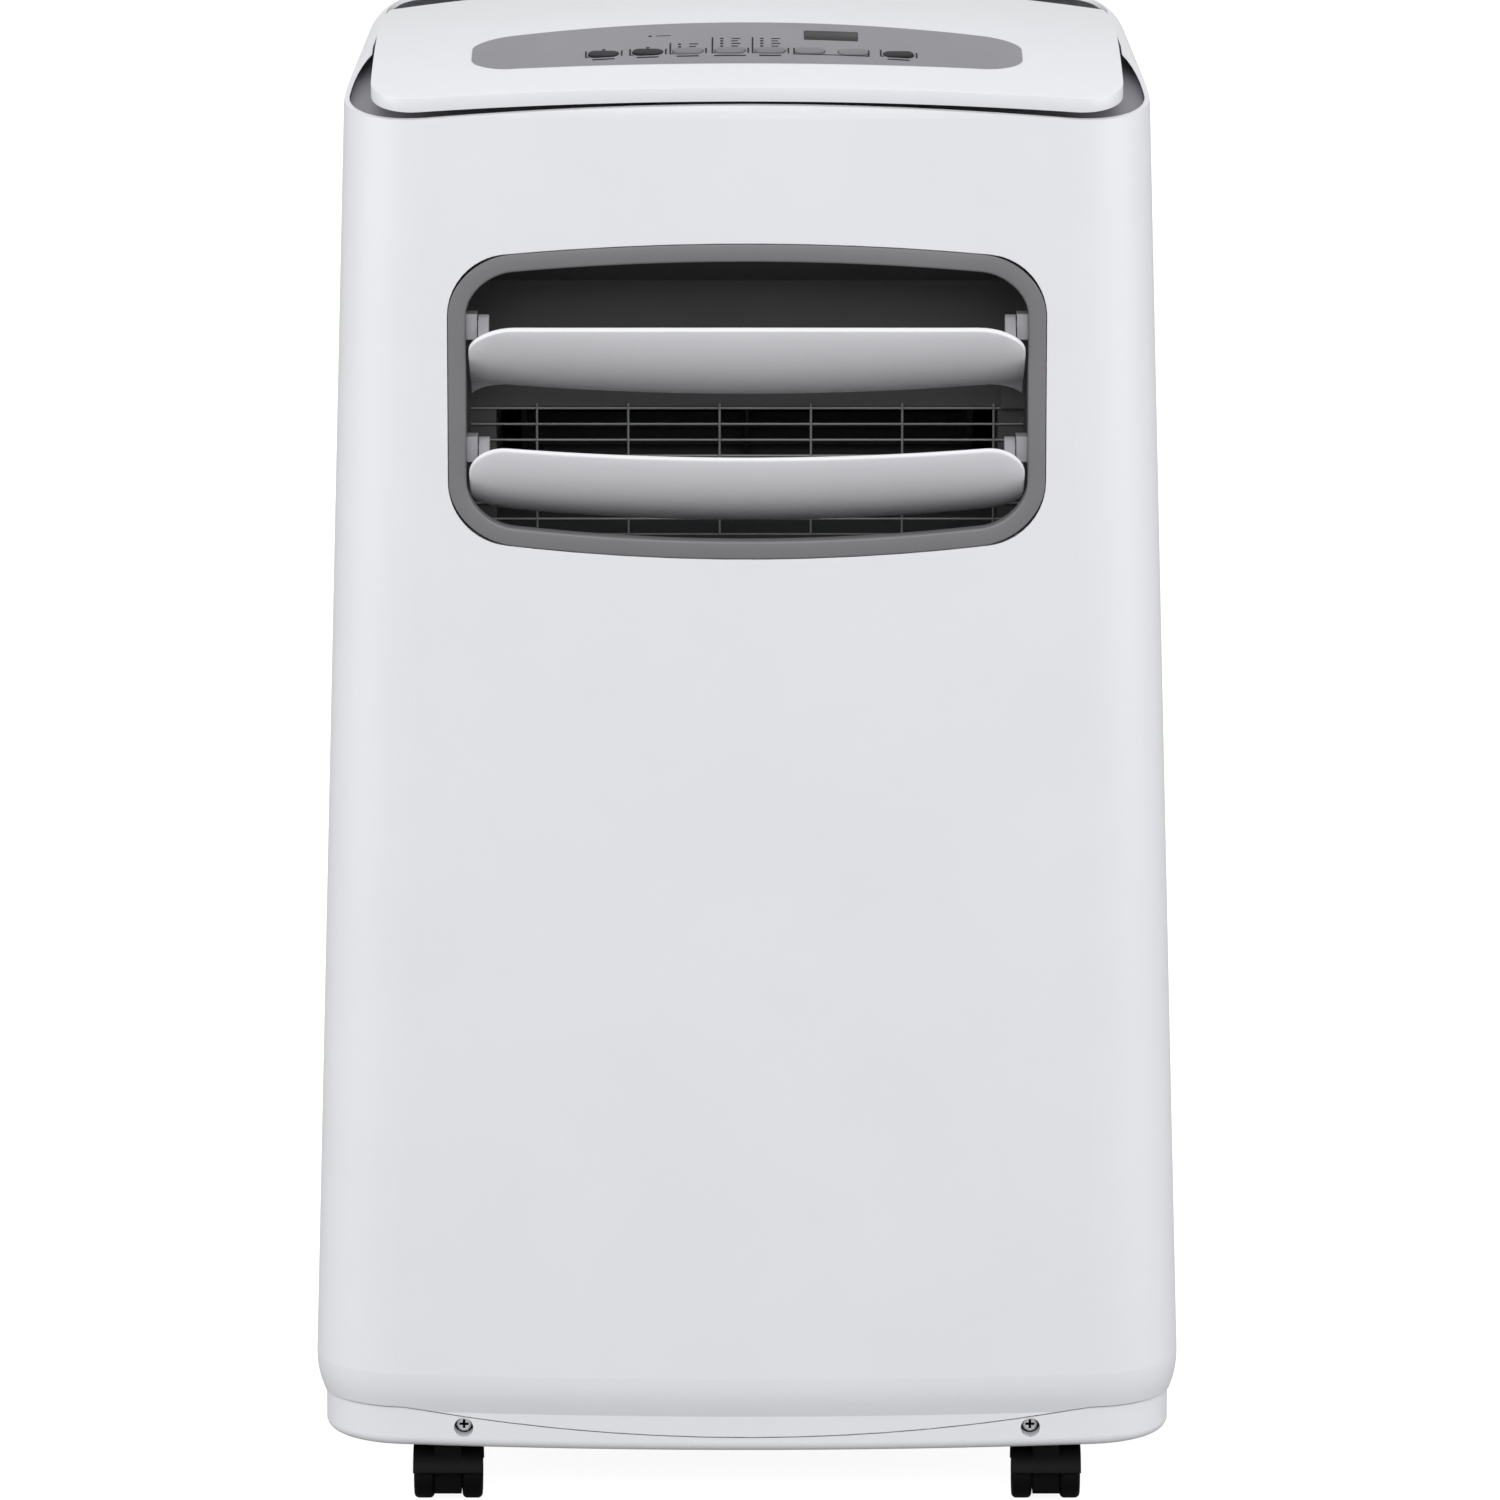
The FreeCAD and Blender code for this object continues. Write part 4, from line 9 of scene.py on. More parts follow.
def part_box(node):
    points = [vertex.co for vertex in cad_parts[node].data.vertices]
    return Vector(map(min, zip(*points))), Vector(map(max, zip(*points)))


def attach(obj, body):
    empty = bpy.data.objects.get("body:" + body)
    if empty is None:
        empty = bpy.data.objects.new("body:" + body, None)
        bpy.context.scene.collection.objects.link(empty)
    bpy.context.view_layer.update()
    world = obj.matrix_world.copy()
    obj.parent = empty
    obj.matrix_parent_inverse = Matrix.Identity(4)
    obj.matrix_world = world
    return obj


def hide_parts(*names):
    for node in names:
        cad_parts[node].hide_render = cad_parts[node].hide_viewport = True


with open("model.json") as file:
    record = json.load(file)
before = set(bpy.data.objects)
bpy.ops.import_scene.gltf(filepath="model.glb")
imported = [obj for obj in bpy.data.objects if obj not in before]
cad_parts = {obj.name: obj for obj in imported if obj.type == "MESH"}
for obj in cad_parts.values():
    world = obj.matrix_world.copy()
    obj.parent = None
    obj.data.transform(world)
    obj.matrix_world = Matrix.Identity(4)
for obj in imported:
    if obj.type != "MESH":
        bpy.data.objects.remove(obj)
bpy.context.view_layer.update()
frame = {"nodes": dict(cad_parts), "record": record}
nodes = frame["nodes"]

MM = 0.001


# ---- materials ---------------------------------------------------------------------------------

def new_material(name, colour, rough, spec=0.5, metallic=0.0):
    material = bpy.data.materials.new(name)
    material.use_nodes = True
    shader = material.node_tree.nodes["Principled BSDF"]
    shader.inputs["Base Color"].default_value = (*colour, 1.0)
    shader.inputs["Roughness"].default_value = rough
    shader.inputs["Specular IOR Level"].default_value = spec
    shader.inputs["Metallic"].default_value = metallic
    return material, material.node_tree, shader


def pattern(tree, scale, detail=2.0, stretch=(1.0, 1.0, 1.0)):
    """A noise fixed to the piece, in its own coordinates."""
    place = tree.nodes.new("ShaderNodeTexCoord")
    turn = tree.nodes.new("ShaderNodeMapping")
    turn.inputs["Scale"].default_value = stretch
    noise = tree.nodes.new("ShaderNodeTexNoise")
    noise.inputs["Scale"].default_value = scale
    noise.inputs["Detail"].default_value = detail
    tree.links.new(place.outputs["Object"], turn.inputs["Vector"])
    tree.links.new(turn.outputs["Vector"], noise.inputs["Vector"])
    return noise.outputs["Fac"]


def vary_colour(tree, shader, amount, low, high, start=0.35, end=0.65):
    ramp = tree.nodes.new("ShaderNodeValToRGB")
    ramp.color_ramp.elements[0].position = start
    ramp.color_ramp.elements[0].color = (*low, 1.0)
    ramp.color_ramp.elements[1].position = end
    ramp.color_ramp.elements[1].color = (*high, 1.0)
    tree.links.new(amount, ramp.inputs["Fac"])
    tree.links.new(ramp.outputs["Color"], shader.inputs["Base Color"])


def vary_roughness(tree, shader, amount, low, high):
    spread = tree.nodes.new("ShaderNodeMapRange")
    spread.inputs["To Min"].default_value = low
    spread.inputs["To Max"].default_value = high
    tree.links.new(amount, spread.inputs["Value"])
    tree.links.new(spread.outputs["Result"], shader.inputs["Roughness"])


def grain(tree, shader, height, depth, strength, soft_edge=0.0):
    bump = tree.nodes.new("ShaderNodeBump")
    bump.inputs["Distance"].default_value = depth
    bump.inputs["Strength"].default_value = strength
    tree.links.new(height, bump.inputs["Height"])
    if soft_edge:
        edge = tree.nodes.new("ShaderNodeBevel")
        edge.samples = 4
        edge.inputs["Radius"].default_value = soft_edge
        tree.links.new(edge.outputs["Normal"], bump.inputs["Normal"])
    tree.links.new(bump.outputs["Normal"], shader.inputs["Normal"])


def shaded(colour, share):
    return tuple(min(1.0, part * share) for part in colour)


def moulded(name, colour, rough, grain_size=0.9, grain_depth=0.02, strength=0.25, spread=0.03,
            soft_edge=0.0, spec=0.5):
    """Moulded plastic: a faint grain, a little flow mottling, and uneven gloss."""
    material, tree, shader = new_material(name, colour, rough, spec)
    mottle = pattern(tree, 14.0, 3.0)
    vary_colour(tree, shader, mottle, shaded(colour, 1.0 - spread), shaded(colour, 1.0 + spread))
    vary_roughness(tree, shader, pattern(tree, 45.0, 4.0), rough - 0.06, rough + 0.06)
    grain(tree, shader, pattern(tree, 1.0 / (grain_size * MM), 2.0), grain_depth * MM, strength,
          soft_edge)
    return material


def metal(name, colour, rough, stretch=(1.0, 1.0, 1.0), scratch=900.0, spread=0.12, soft_edge=0.0):
    material, tree, shader = new_material(name, colour, rough, 0.5, 1.0)
    vary_colour(tree, shader, pattern(tree, 25.0, 4.0), shaded(colour, 1.0 - spread),
                shaded(colour, 1.0 + spread / 2))
    vary_roughness(tree, shader, pattern(tree, 60.0, 5.0, stretch), rough - 0.1, rough + 0.12)
    grain(tree, shader, pattern(tree, scratch, 2.0, stretch), 0.01 * MM, 0.3, soft_edge)
    return material


def woven(name, colour, pitch):
    """Filter mesh: fine threads crossing, with open squares between them. The open squares are
    painted darker than the threads, as painted shade seen through the mesh.
    """
    material, tree, shader = new_material(name, colour, 0.7)
    place = tree.nodes.new("ShaderNodeTexCoord")
    split = tree.nodes.new("ShaderNodeSeparateXYZ")
    tree.links.new(place.outputs["Object"], split.inputs["Vector"])
    threads = []
    for side in ("X", "Z"):
        wave = tree.nodes.new("ShaderNodeMath")
        wave.operation = "PINGPONG"
        wave.inputs[1].default_value = pitch / 2
        tree.links.new(split.outputs[side], wave.inputs[0])
        threads.append(wave.outputs["Value"])
    nearer = tree.nodes.new("ShaderNodeMath")
    nearer.operation = "MINIMUM"
    tree.links.new(threads[0], nearer.inputs[0])
    tree.links.new(threads[1], nearer.inputs[1])
    spread = tree.nodes.new("ShaderNodeMapRange")
    spread.inputs["From Max"].default_value = pitch / 2
    tree.links.new(nearer.outputs["Value"], spread.inputs["Value"])
    # Painted shade: the open squares go darker than the threads, for the shade seen through the
    # holes.
    vary_colour(tree, shader, spread.outputs["Result"], colour, shaded(colour, 0.35), 0.25, 0.6)
    vary_roughness(tree, shader, pattern(tree, 60.0), 0.6, 0.8)
    grain(tree, shader, spread.outputs["Result"], -0.3 * MM, 0.6)
    return material


def finned(name, colour, pitch):
    """Stacked fins, seen end on. The fin edges keep the metal's colour; the bands between them are
    painted darker, as painted shade in the gaps between the fins.
    """
    material, tree, shader = new_material(name, colour, 0.4, 0.5, 0.8)
    place = tree.nodes.new("ShaderNodeTexCoord")
    wave = tree.nodes.new("ShaderNodeTexWave")
    wave.wave_type = "BANDS"
    wave.bands_direction = "X"
    wave.inputs["Scale"].default_value = 1.0 / pitch / 20.0 * 2.0 * math.pi
    wave.inputs["Distortion"].default_value = 0.4
    tree.links.new(place.outputs["Object"], wave.inputs["Vector"])
    # Painted shade: the darker bands stand for the shade in the gaps between the fins.
    vary_colour(tree, shader, wave.outputs["Fac"], shaded(colour, 0.45), colour, 0.1, 0.8)
    vary_roughness(tree, shader, pattern(tree, 80.0), 0.3, 0.5)
    grain(tree, shader, wave.outputs["Fac"], 0.4 * MM, 0.5)
    return material


WHITE = (0.70, 0.705, 0.73)
finish = {
    "white_casing": moulded("white_casing", WHITE, 0.38, 0.8, 0.015, 0.22, 0.008, 0.5 * MM, 0.4),
    "white_lid": moulded("white_lid", (0.70, 0.71, 0.735), 0.32, 0.8, 0.01, 0.15, 0.008),
    "white_louver": moulded("white_louver", (0.74, 0.74, 0.77), 0.32, 0.7, 0.01, 0.15, 0.01,
                            0.9 * MM),
    "grey_panel": moulded("grey_panel", (0.235, 0.232, 0.255), 0.45, 0.25, 0.02, 0.35, 0.03, 0.0,
                          0.3),
    "grey_tray": moulded("grey_tray", (0.27, 0.265, 0.29), 0.5, 0.5, 0.03, 0.35, 0.03, 0.3 * MM),
    "key_grey": moulded("key_grey", (0.17, 0.167, 0.18), 0.4, 0.4, 0.02, 0.3, 0.04, 0.0, 0.3),
    "key_dark": moulded("key_dark", (0.012, 0.012, 0.014), 0.55, 0.4, 0.02, 0.3, 0.06, 0.0, 0.3),
    "print_dark": moulded("print_dark", (0.008, 0.008, 0.009), 0.6, 0.3, 0.01, 0.2, 0.1, 0.0, 0.2),
    "display_black": moulded("display_black", (0.025, 0.023, 0.025), 0.4, 2.0, 0.01, 0.1, 0.08,
                             0.0, 0.15),
    "bezel_grey": moulded("bezel_grey", (0.155, 0.152, 0.162), 0.42, 0.5, 0.03, 0.4, 0.04),
    "duct_grey": moulded("duct_grey", (0.062, 0.062, 0.064), 0.5, 0.8, 0.03, 0.3, 0.06, 0.4 * MM,
                         0.3),
    "arm_grey": moulded("arm_grey", (0.36, 0.36, 0.38), 0.45, 0.6, 0.03, 0.3, 0.05),
    "guard_grey": moulded("guard_grey", (0.18, 0.18, 0.185), 0.4, 0.5, 0.02, 0.3, 0.1),
    "black_plastic": moulded("black_plastic", (0.0015, 0.0015, 0.0017), 0.5, 0.6, 0.03, 0.3, 0.2,
                             0.5 * MM, 0.08),
    "wheel_black": moulded("wheel_black", (0.0015, 0.0015, 0.0017), 0.5, 0.5, 0.05, 0.4, 0.25, 0.0,
                           0.08),
    "bearing_white": moulded("bearing_white", (0.36, 0.36, 0.38), 0.45, 0.6, 0.03, 0.3, 0.05,
                             0.4 * MM),
    "grille_white": moulded("grille_white", WHITE, 0.4, 0.7, 0.02, 0.25, 0.01, 0.4 * MM),
    "filter_mesh": woven("filter_mesh", (0.12, 0.13, 0.15), 1.2 * MM),
    "zinc_steel": metal("zinc_steel", (0.86, 0.86, 0.87), 0.28, soft_edge=0.25 * MM),
    "motor_steel": metal("motor_steel", (0.35, 0.36, 0.38), 0.4, (1.0, 1.0, 0.1), 700.0, 0.1,
                         0.5 * MM),
    "compressor_black": moulded("compressor_black", (0.015, 0.015, 0.016), 0.35, 1.6, 0.05, 0.35,
                                0.25, 0.5 * MM),
    "fin_aluminium": finned("fin_aluminium", (0.62, 0.64, 0.66), 2.0 * MM),
    "copper": metal("copper", (0.72, 0.36, 0.2), 0.3, (1.0, 1.0, 1.0), 500.0, 0.25),
    "board_green": moulded("board_green", (0.02, 0.12, 0.05), 0.45, 0.8, 0.02, 0.3, 0.2),
    "inner_plastic": moulded("inner_plastic", (0.06, 0.062, 0.066), 0.55, 1.0, 0.04, 0.4, 0.1,
                             0.4 * MM),
    "rubber": moulded("rubber", (0.02, 0.02, 0.021), 0.75, 0.6, 0.06, 0.5, 0.2),
}


# ---- finishes for the nodes that stay as they are ----------------------------------------------

for row in frame["record"]["subparts"]:
    shown = nodes[row["node"]]
    shown.data.materials.clear()
    shown.data.materials.append(finish[row["material_slot"]])


# ---- helpers: outlines and pieces --------------------------------------------------------------

def outline(bm, left, right, front, rear, front_corner, rear_corner, turns=10, cuts=0, bulge=0.0):
    """A closed loop of edges on the level: four round corners, and long sides that may bulge."""
    corners = bmesh.ops.create_grid(bm, x_segments=1, y_segments=1, size=0.5)["verts"]
    middle = Vector(((left + right) / 2, (front + rear) / 2, 0.0))
    bmesh.ops.scale(bm, vec=(right - left, rear - front, 1.0), verts=corners)
    bmesh.ops.translate(bm, vec=middle, verts=corners)
    front_ends = [v for v in corners if v.co.y < middle.y]
    rear_ends = [v for v in corners if v.co.y > middle.y]
    made = []
    for ends, corner in ((front_ends, front_corner), (rear_ends, rear_corner)):
        made += bmesh.ops.bevel(bm, geom=ends, offset=corner, offset_type="OFFSET", segments=turns,
                                profile=0.5, affect="VERTICES", clamp_overlap=False,
                                material=-1)["verts"]
    made = [v for v in made if v.is_valid]
    face = made[0].link_faces[0]
    loop = list(face.edges)
    bmesh.ops.delete(bm, geom=[face], context="FACES_ONLY")
    if cuts:
        long_sides = sorted(loop, key=lambda e: -abs(e.verts[0].co.x - e.verts[1].co.x))[:2]
        loop = [e for e in loop if e not in long_sides]
        split = bmesh.ops.subdivide_edges(bm, edges=long_sides, cuts=cuts)["geom"]
        loop += [e for e in split if isinstance(e, bmesh.types.BMEdge)] + long_sides
        loop = list({e for e in loop if e.is_valid})
    if bulge:
        half = (rear - front) / 2
        for v in {v for e in loop for v in e.verts}:
            side = (v.co.y - middle.y) / half
            v.co.y -= side * arc_drop(v.co.x - middle.x, bulge)
    return loop


def filled(bm, loop):
    return bmesh.ops.contextual_create(bm, geom=loop)["faces"][0]


def thickened(bm, faces, depth):
    """Carries the faces down by the depth, so that they become a closed plate."""
    low = bmesh.ops.extrude_face_region(bm, geom=faces)["geom"]
    moved = [v for v in low if isinstance(v, bmesh.types.BMVert)]
    bmesh.ops.translate(bm, vec=(0.0, 0.0, -depth), verts=moved)
    bmesh.ops.recalc_face_normals(bm, faces=bm.faces[:])


def rounded(bm, edges, radius, turns=3):
    bmesh.ops.bevel(bm, geom=edges, offset=radius, offset_type="OFFSET", segments=turns,
                    profile=0.5, affect="EDGES", clamp_overlap=True, material=-1)


def rim_edges(bm, height, reach=0.2 * MM):
    """The sharp edges round the plate's face at this height."""
    return [e for e in bm.edges if all(abs(v.co.z - height) < reach for v in e.verts)
            and len(e.link_faces) == 2 and e.calc_face_angle(0.0) > 1.0]


def sliced(bm, side, low, high, step):
    """Cuts across the piece every step, so that it can follow a curved surface."""
    axis = Vector((side == "X", side == "Y", side == "Z"))
    place = low + step
    while place < high - step / 2:
        geom = bm.verts[:] + bm.edges[:] + bm.faces[:]
        cut = bmesh.ops.bisect_plane(bm, geom=geom, dist=0.01 * MM, plane_co=axis * place,
                                     plane_no=axis)["geom_cut"]
        for edge in cut:
            if isinstance(edge, bmesh.types.BMEdge):
                edge.seam = True
        place += step


def merged_flat(bm):
    """Takes out the edges between level faces, apart from the cuts across the piece."""
    flat = [e for e in bm.edges if not e.seam and len(e.link_faces) == 2
            and e.calc_face_angle(1.0) < 0.001]
    bmesh.ops.dissolve_edges(bm, edges=flat, use_verts=False, use_face_split=False)
    for edge in bm.edges:
        edge.seam = False


def poured(bm, part):
    """Adds another bmesh's faces to this one."""
    mesh = bpy.data.meshes.new("part")
    part.to_mesh(mesh)
    part.free()
    bm.from_mesh(mesh)
    bpy.data.meshes.remove(mesh)


def piece(name, bm, slot, body="root", stands_for=(), look=None, sharp=35.0):
    mesh = bpy.data.meshes.new(name)
    bm.to_mesh(mesh)
    bm.free()
    for polygon in mesh.polygons:
        polygon.use_smooth = True
    mesh.set_sharp_from_angle(angle=math.radians(sharp))
    made = bpy.data.objects.new(name, mesh)
    bpy.context.scene.collection.objects.link(made)
    mesh.materials.append(finish[look or slot])
    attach(made, body)
    if stands_for:
        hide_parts(*stands_for)
    return made


# ---- the casing's surfaces ---------------------------------------------------------------------

APEX_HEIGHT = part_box("top_lid")[1].z
APEX_REACH = -0.030
FRONT_ARC = 0.407
REAR_ARC = 1.500
CROWN = 1.350
BOW = 1.400
FRONT_REACH = -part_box("front_shell")[0].y
FRONT_LEAN = 0.006
LEAN_START = 0.071
LEAN_SPAN = 0.651


def arc_drop(step, radius):
    return radius - math.sqrt(radius * radius - step * step)


def top_surface(x, y):
    """Height of the crowned top over a place."""
    ridge = APEX_HEIGHT - arc_drop(y - APEX_REACH, FRONT_ARC if y < APEX_REACH else REAR_ARC)
    pole = CROWN + ridge - APEX_HEIGHT
    return APEX_HEIGHT - CROWN + math.sqrt(pole * pole - x * x)


def front_surface(x, z):
    """Where the leaning, bowed front is, along Y."""
    lean = FRONT_LEAN * max(0.0, (z - LEAN_START) / LEAN_SPAN)
    return lean - FRONT_REACH + arc_drop(x, BOW)


def laid_on_top(bm):
    for v in bm.verts:
        v.co.z += top_surface(v.co.x, v.co.y)


def stood_on_front(bm, height):
    """Turns a level piece upright, its upper side forwards, and bends it to the front."""
    bmesh.ops.rotate(bm, verts=bm.verts[:], matrix=Matrix.Rotation(math.pi / 2, 3, "X"))
    bmesh.ops.translate(bm, vec=(0.0, 0.0, height), verts=bm.verts[:])
    for v in bm.verts:
        v.co.y += front_surface(v.co.x, v.co.z)


# ---- lid and controls --------------------------------------------------------------------------

LID_FRONT_CORNER = 0.025
LID_REAR_CORNER = 0.040
LID_EDGE = 0.007
LID_ROUND = 0.0028
OVERLAY_CORNER = 0.020
OVERLAY_BULGE = 1.200
OVERLAY_PROUD = 0.0003
OVERLAY_PLATE = 0.001
OVERLAY_LAP = 0.003
BOARD_SLOPE = math.radians(13.5)
KEY_LENGTH = 0.0152
KEY_WIDTH = 0.0076
KEY_PLAY = 0.00035
KEY_DEPTH = 0.0050
KEY_REACH = -0.1385
PILL = 0.995                        # corner over half width: ends all but fully round
WINDOW_CORNER = 0.8 * MM
DISPLAY_PLATE = 0.0025
DISPLAY_DROP = 0.1 * MM
PRINT = 0.0001

overlay_low, overlay_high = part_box("control_overlay")
window_low, window_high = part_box("display_window")
key_nodes = ["sleep_key", "fan_key", "mode_key", "swing_key", "timer_key", "minus_key", "plus_key",
             "power_key"]
DARK_KEYS = ("sleep_key", "fan_key", "power_key")
key_places = {}
for key in key_nodes:
    key_low, key_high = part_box(key)
    key_places[key] = (key_low.x + key_high.x) / 2


def make_lid():
    low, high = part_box("top_lid")
    bm = bmesh.new()
    loops = outline(bm, low.x, high.x, low.y, high.y, LID_FRONT_CORNER, LID_REAR_CORNER, 14, 30)
    for v in {v for e in loops for v in e.verts}:
        if v.co.y < 0.0:
            v.co.y += arc_drop(v.co.x, BOW) * min(1.0, -v.co.y / -low.y)
    loops += outline(bm, overlay_low.x + OVERLAY_LAP, overlay_high.x - OVERLAY_LAP,
                     overlay_low.y + OVERLAY_LAP, overlay_high.y - OVERLAY_LAP,
                     OVERLAY_CORNER - OVERLAY_LAP, OVERLAY_CORNER - OVERLAY_LAP, 8, 24,
                     OVERLAY_BULGE)
    made = bmesh.ops.triangle_fill(bm, use_beauty=True, edges=loops)["geom"]
    thickened(bm, [f for f in made if isinstance(f, bmesh.types.BMFace)], LID_EDGE)
    outer = [e for e in rim_edges(bm, 0.0) if not inside_overlay(e)]
    rounded(bm, outer, LID_ROUND, 5)
    lower = [e for e in rim_edges(bm, -LID_EDGE) if not inside_overlay(e)]
    rounded(bm, lower, 0.0008, 2)
    sliced(bm, "X", low.x, high.x, 0.015)
    sliced(bm, "Y", low.y, high.y, 0.012)
    merged_flat(bm)
    laid_on_top(bm)
    return piece("lid", bm, "white_lid", stands_for=["top_lid"])


def inside_overlay(edge):
    middle = (edge.verts[0].co + edge.verts[1].co) / 2
    return (overlay_low.x - MM < middle.x < overlay_high.x + MM
            and overlay_low.y - MM < middle.y < overlay_high.y + MM)


def make_overlay():
    bm = bmesh.new()
    loops = outline(bm, overlay_low.x, overlay_high.x, overlay_low.y, overlay_high.y,
                    OVERLAY_CORNER, OVERLAY_CORNER, 14, 30, OVERLAY_BULGE)
    half_length = KEY_LENGTH / 2 + KEY_PLAY
    half_width = KEY_WIDTH / 2 + KEY_PLAY
    for x in key_places.values():
        loops += outline(bm, x - half_length, x + half_length, KEY_REACH - half_width,
                         KEY_REACH + half_width, PILL * half_width, PILL * half_width, 8)
    loops += outline(bm, window_low.x, window_high.x, window_low.y, window_high.y, WINDOW_CORNER,
                     WINDOW_CORNER, 4)
    made = bmesh.ops.triangle_fill(bm, use_beauty=True, edges=loops)["geom"]
    thickened(bm, [f for f in made if isinstance(f, bmesh.types.BMFace)], OVERLAY_PLATE)
    rounded(bm, rim_edges(bm, 0.0), 0.15 * MM, 2)
    sliced(bm, "X", overlay_low.x, overlay_high.x, 0.012)
    sliced(bm, "Y", overlay_low.y, overlay_high.y, 0.010)
    merged_flat(bm)
    bmesh.ops.translate(bm, vec=(0.0, 0.0, OVERLAY_PROUD), verts=bm.verts[:])
    laid_on_top(bm)
    return piece("overlay", bm, "grey_panel", stands_for=["control_overlay"])


def make_display():
    """Dark window, a hair lower than the overlay round it."""
    bm = bmesh.new()
    inset = 0.1 * MM
    loop = outline(bm, window_low.x + inset, window_high.x - inset, window_low.y + inset,
                   window_high.y - inset, WINDOW_CORNER, WINDOW_CORNER, 4)
    thickened(bm, [filled(bm, loop)], DISPLAY_PLATE)
    rounded(bm, rim_edges(bm, 0.0), 0.25 * MM, 2)
    sliced(bm, "X", window_low.x, window_high.x, 0.009)
    bmesh.ops.translate(bm, vec=(0.0, 0.0, OVERLAY_PROUD - DISPLAY_DROP), verts=bm.verts[:])
    laid_on_top(bm)
    return piece("display", bm, "display_black", stands_for=["display_window"])


def make_key(node, x):
    """A pill with a rounded rim, tipped with the board under it."""
    bm = bmesh.new()
    half_length = KEY_LENGTH / 2
    half_width = KEY_WIDTH / 2
    loop = outline(bm, -half_length, half_length, -half_width, half_width, PILL * half_width,
                   PILL * half_width, 8)
    thickened(bm, [filled(bm, loop)], KEY_DEPTH)
    rounded(bm, rim_edges(bm, 0.0), 0.7 * MM, 4)
    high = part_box(node)[1].z
    bmesh.ops.rotate(bm, verts=bm.verts[:], matrix=Matrix.Rotation(BOARD_SLOPE, 3, "X"))
    rise = high - half_width * math.sin(BOARD_SLOPE)
    bmesh.ops.translate(bm, vec=(x, KEY_REACH, rise), verts=bm.verts[:])
    look = "key_dark" if node in DARK_KEYS else "key_grey"
    return piece(node + "_cap", bm, "key_grey", node, [node], look)


make_lid()
make_overlay()
make_display()
for key, place in key_places.items():
    make_key(key, place)


# ---- printed marks on the overlay: plain dots and bars, no lettering ---------------------------

def printed(bm, left, right, front, rear, corner=0.0, turns=3):
    spot = bmesh.new()
    corner = max(corner, 0.02 * MM)
    loop = outline(spot, left, right, front, rear, corner, corner, turns)
    thickened(spot, [filled(spot, loop)], PRINT)
    poured(bm, spot)


LAMP_GAP = 0.0036
LINE = 0.0008
DOT = 0.9 * MM
DOT_CORNER = 0.88 * MM
LABEL_WIDTH = 0.011
LONG_LABEL_WIDTH = 0.016
SENSOR_REACH = 0.0225


def make_marks():
    bm = bmesh.new()
    key_front = KEY_REACH - KEY_WIDTH / 2
    key_rear = KEY_REACH + KEY_WIDTH / 2
    lamps = {"sleep_key": 1, "fan_key": 1, "mode_key": 2, "swing_key": 4, "timer_key": 4}
    for key, x in key_places.items():
        if key in ("minus_key", "plus_key"):
            continue
        left = x - KEY_LENGTH / 2 - 1.7 * MM
        right = x + KEY_LENGTH / 2 + 1.2 * MM
        count = lamps.get(key, 0)
        reach = key_rear + (count * LAMP_GAP if count > 1 else 1.0 * MM)
        printed(bm, left, left + LINE, key_front + 0.5 * MM, reach)
        printed(bm, right, right + LINE, key_front + 0.5 * MM, key_rear - 0.5 * MM)
        printed(bm, left, left + 2.0 * MM, key_front + 0.2 * MM, key_front + 0.2 * MM + LINE)
        width = LABEL_WIDTH if key != "swing_key" else LONG_LABEL_WIDTH
        printed(bm, x - width / 2, x + width / 2, key_front - 3.4 * MM, key_front - 2.2 * MM)
        for index in range(count):
            y = key_rear + 1.9 * MM + index * LAMP_GAP
            spot = x - (4.2 * MM if count > 1 else 0.0)
            printed(bm, spot - DOT, spot + DOT, y - DOT, y + DOT, DOT_CORNER)
            if count > 1:
                wide = 4.6 * MM if index % 2 else 3.4 * MM
                printed(bm, x + 0.6 * MM, x + 0.6 * MM + wide, y - 0.5 * MM, y + 0.5 * MM)
    low = key_places["minus_key"] - KEY_LENGTH / 2 - 0.6 * MM
    high = key_places["plus_key"] + KEY_LENGTH / 2 + 0.6 * MM
    printed(bm, low, high, key_front - 0.9 * MM, key_front - 0.9 * MM + LINE)
    for x in (low, high - LINE):
        printed(bm, x, x + LINE, key_front - 0.9 * MM, key_rear - 0.5 * MM)
    lamp = key_places["fan_key"] + 1.0 * MM
    back = KEY_REACH + SENSOR_REACH
    printed(bm, lamp - DOT, lamp + DOT, back - DOT, back + DOT, DOT_CORNER)
    printed(bm, lamp + 3.0 * MM, lamp + 10.5 * MM, back - 0.3 * MM, back + 0.3 * MM)
    sliced(bm, "X", overlay_low.x, overlay_high.x, 0.006)
    sliced(bm, "Y", overlay_low.y, overlay_high.y, 0.004)
    merged_flat(bm)
    bmesh.ops.translate(bm, vec=(0.0, 0.0, OVERLAY_PROUD + PRINT), verts=bm.verts[:])
    laid_on_top(bm)
    return piece("panel_marks", bm, "key_grey", look="print_dark")


make_marks()


# ---- air outlet --------------------------------------------------------------------------------

VENT_CORNER = 0.032
VENT_BULGE = 1.200
BEZEL_RING = 0.0091
BEZEL_DEPTH = 0.009
GUARD_WIRE = 0.0006
GUARD_PITCH = 0.0082
POST_PITCH = 0.0468
POST_SHIFT = 0.01404

vent_low, vent_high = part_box("vent_bezel")
VENT_HALF = 0.151
VENT_HEIGHT = (vent_low.z + vent_high.z) / 2
VENT_RISE = 0.0801


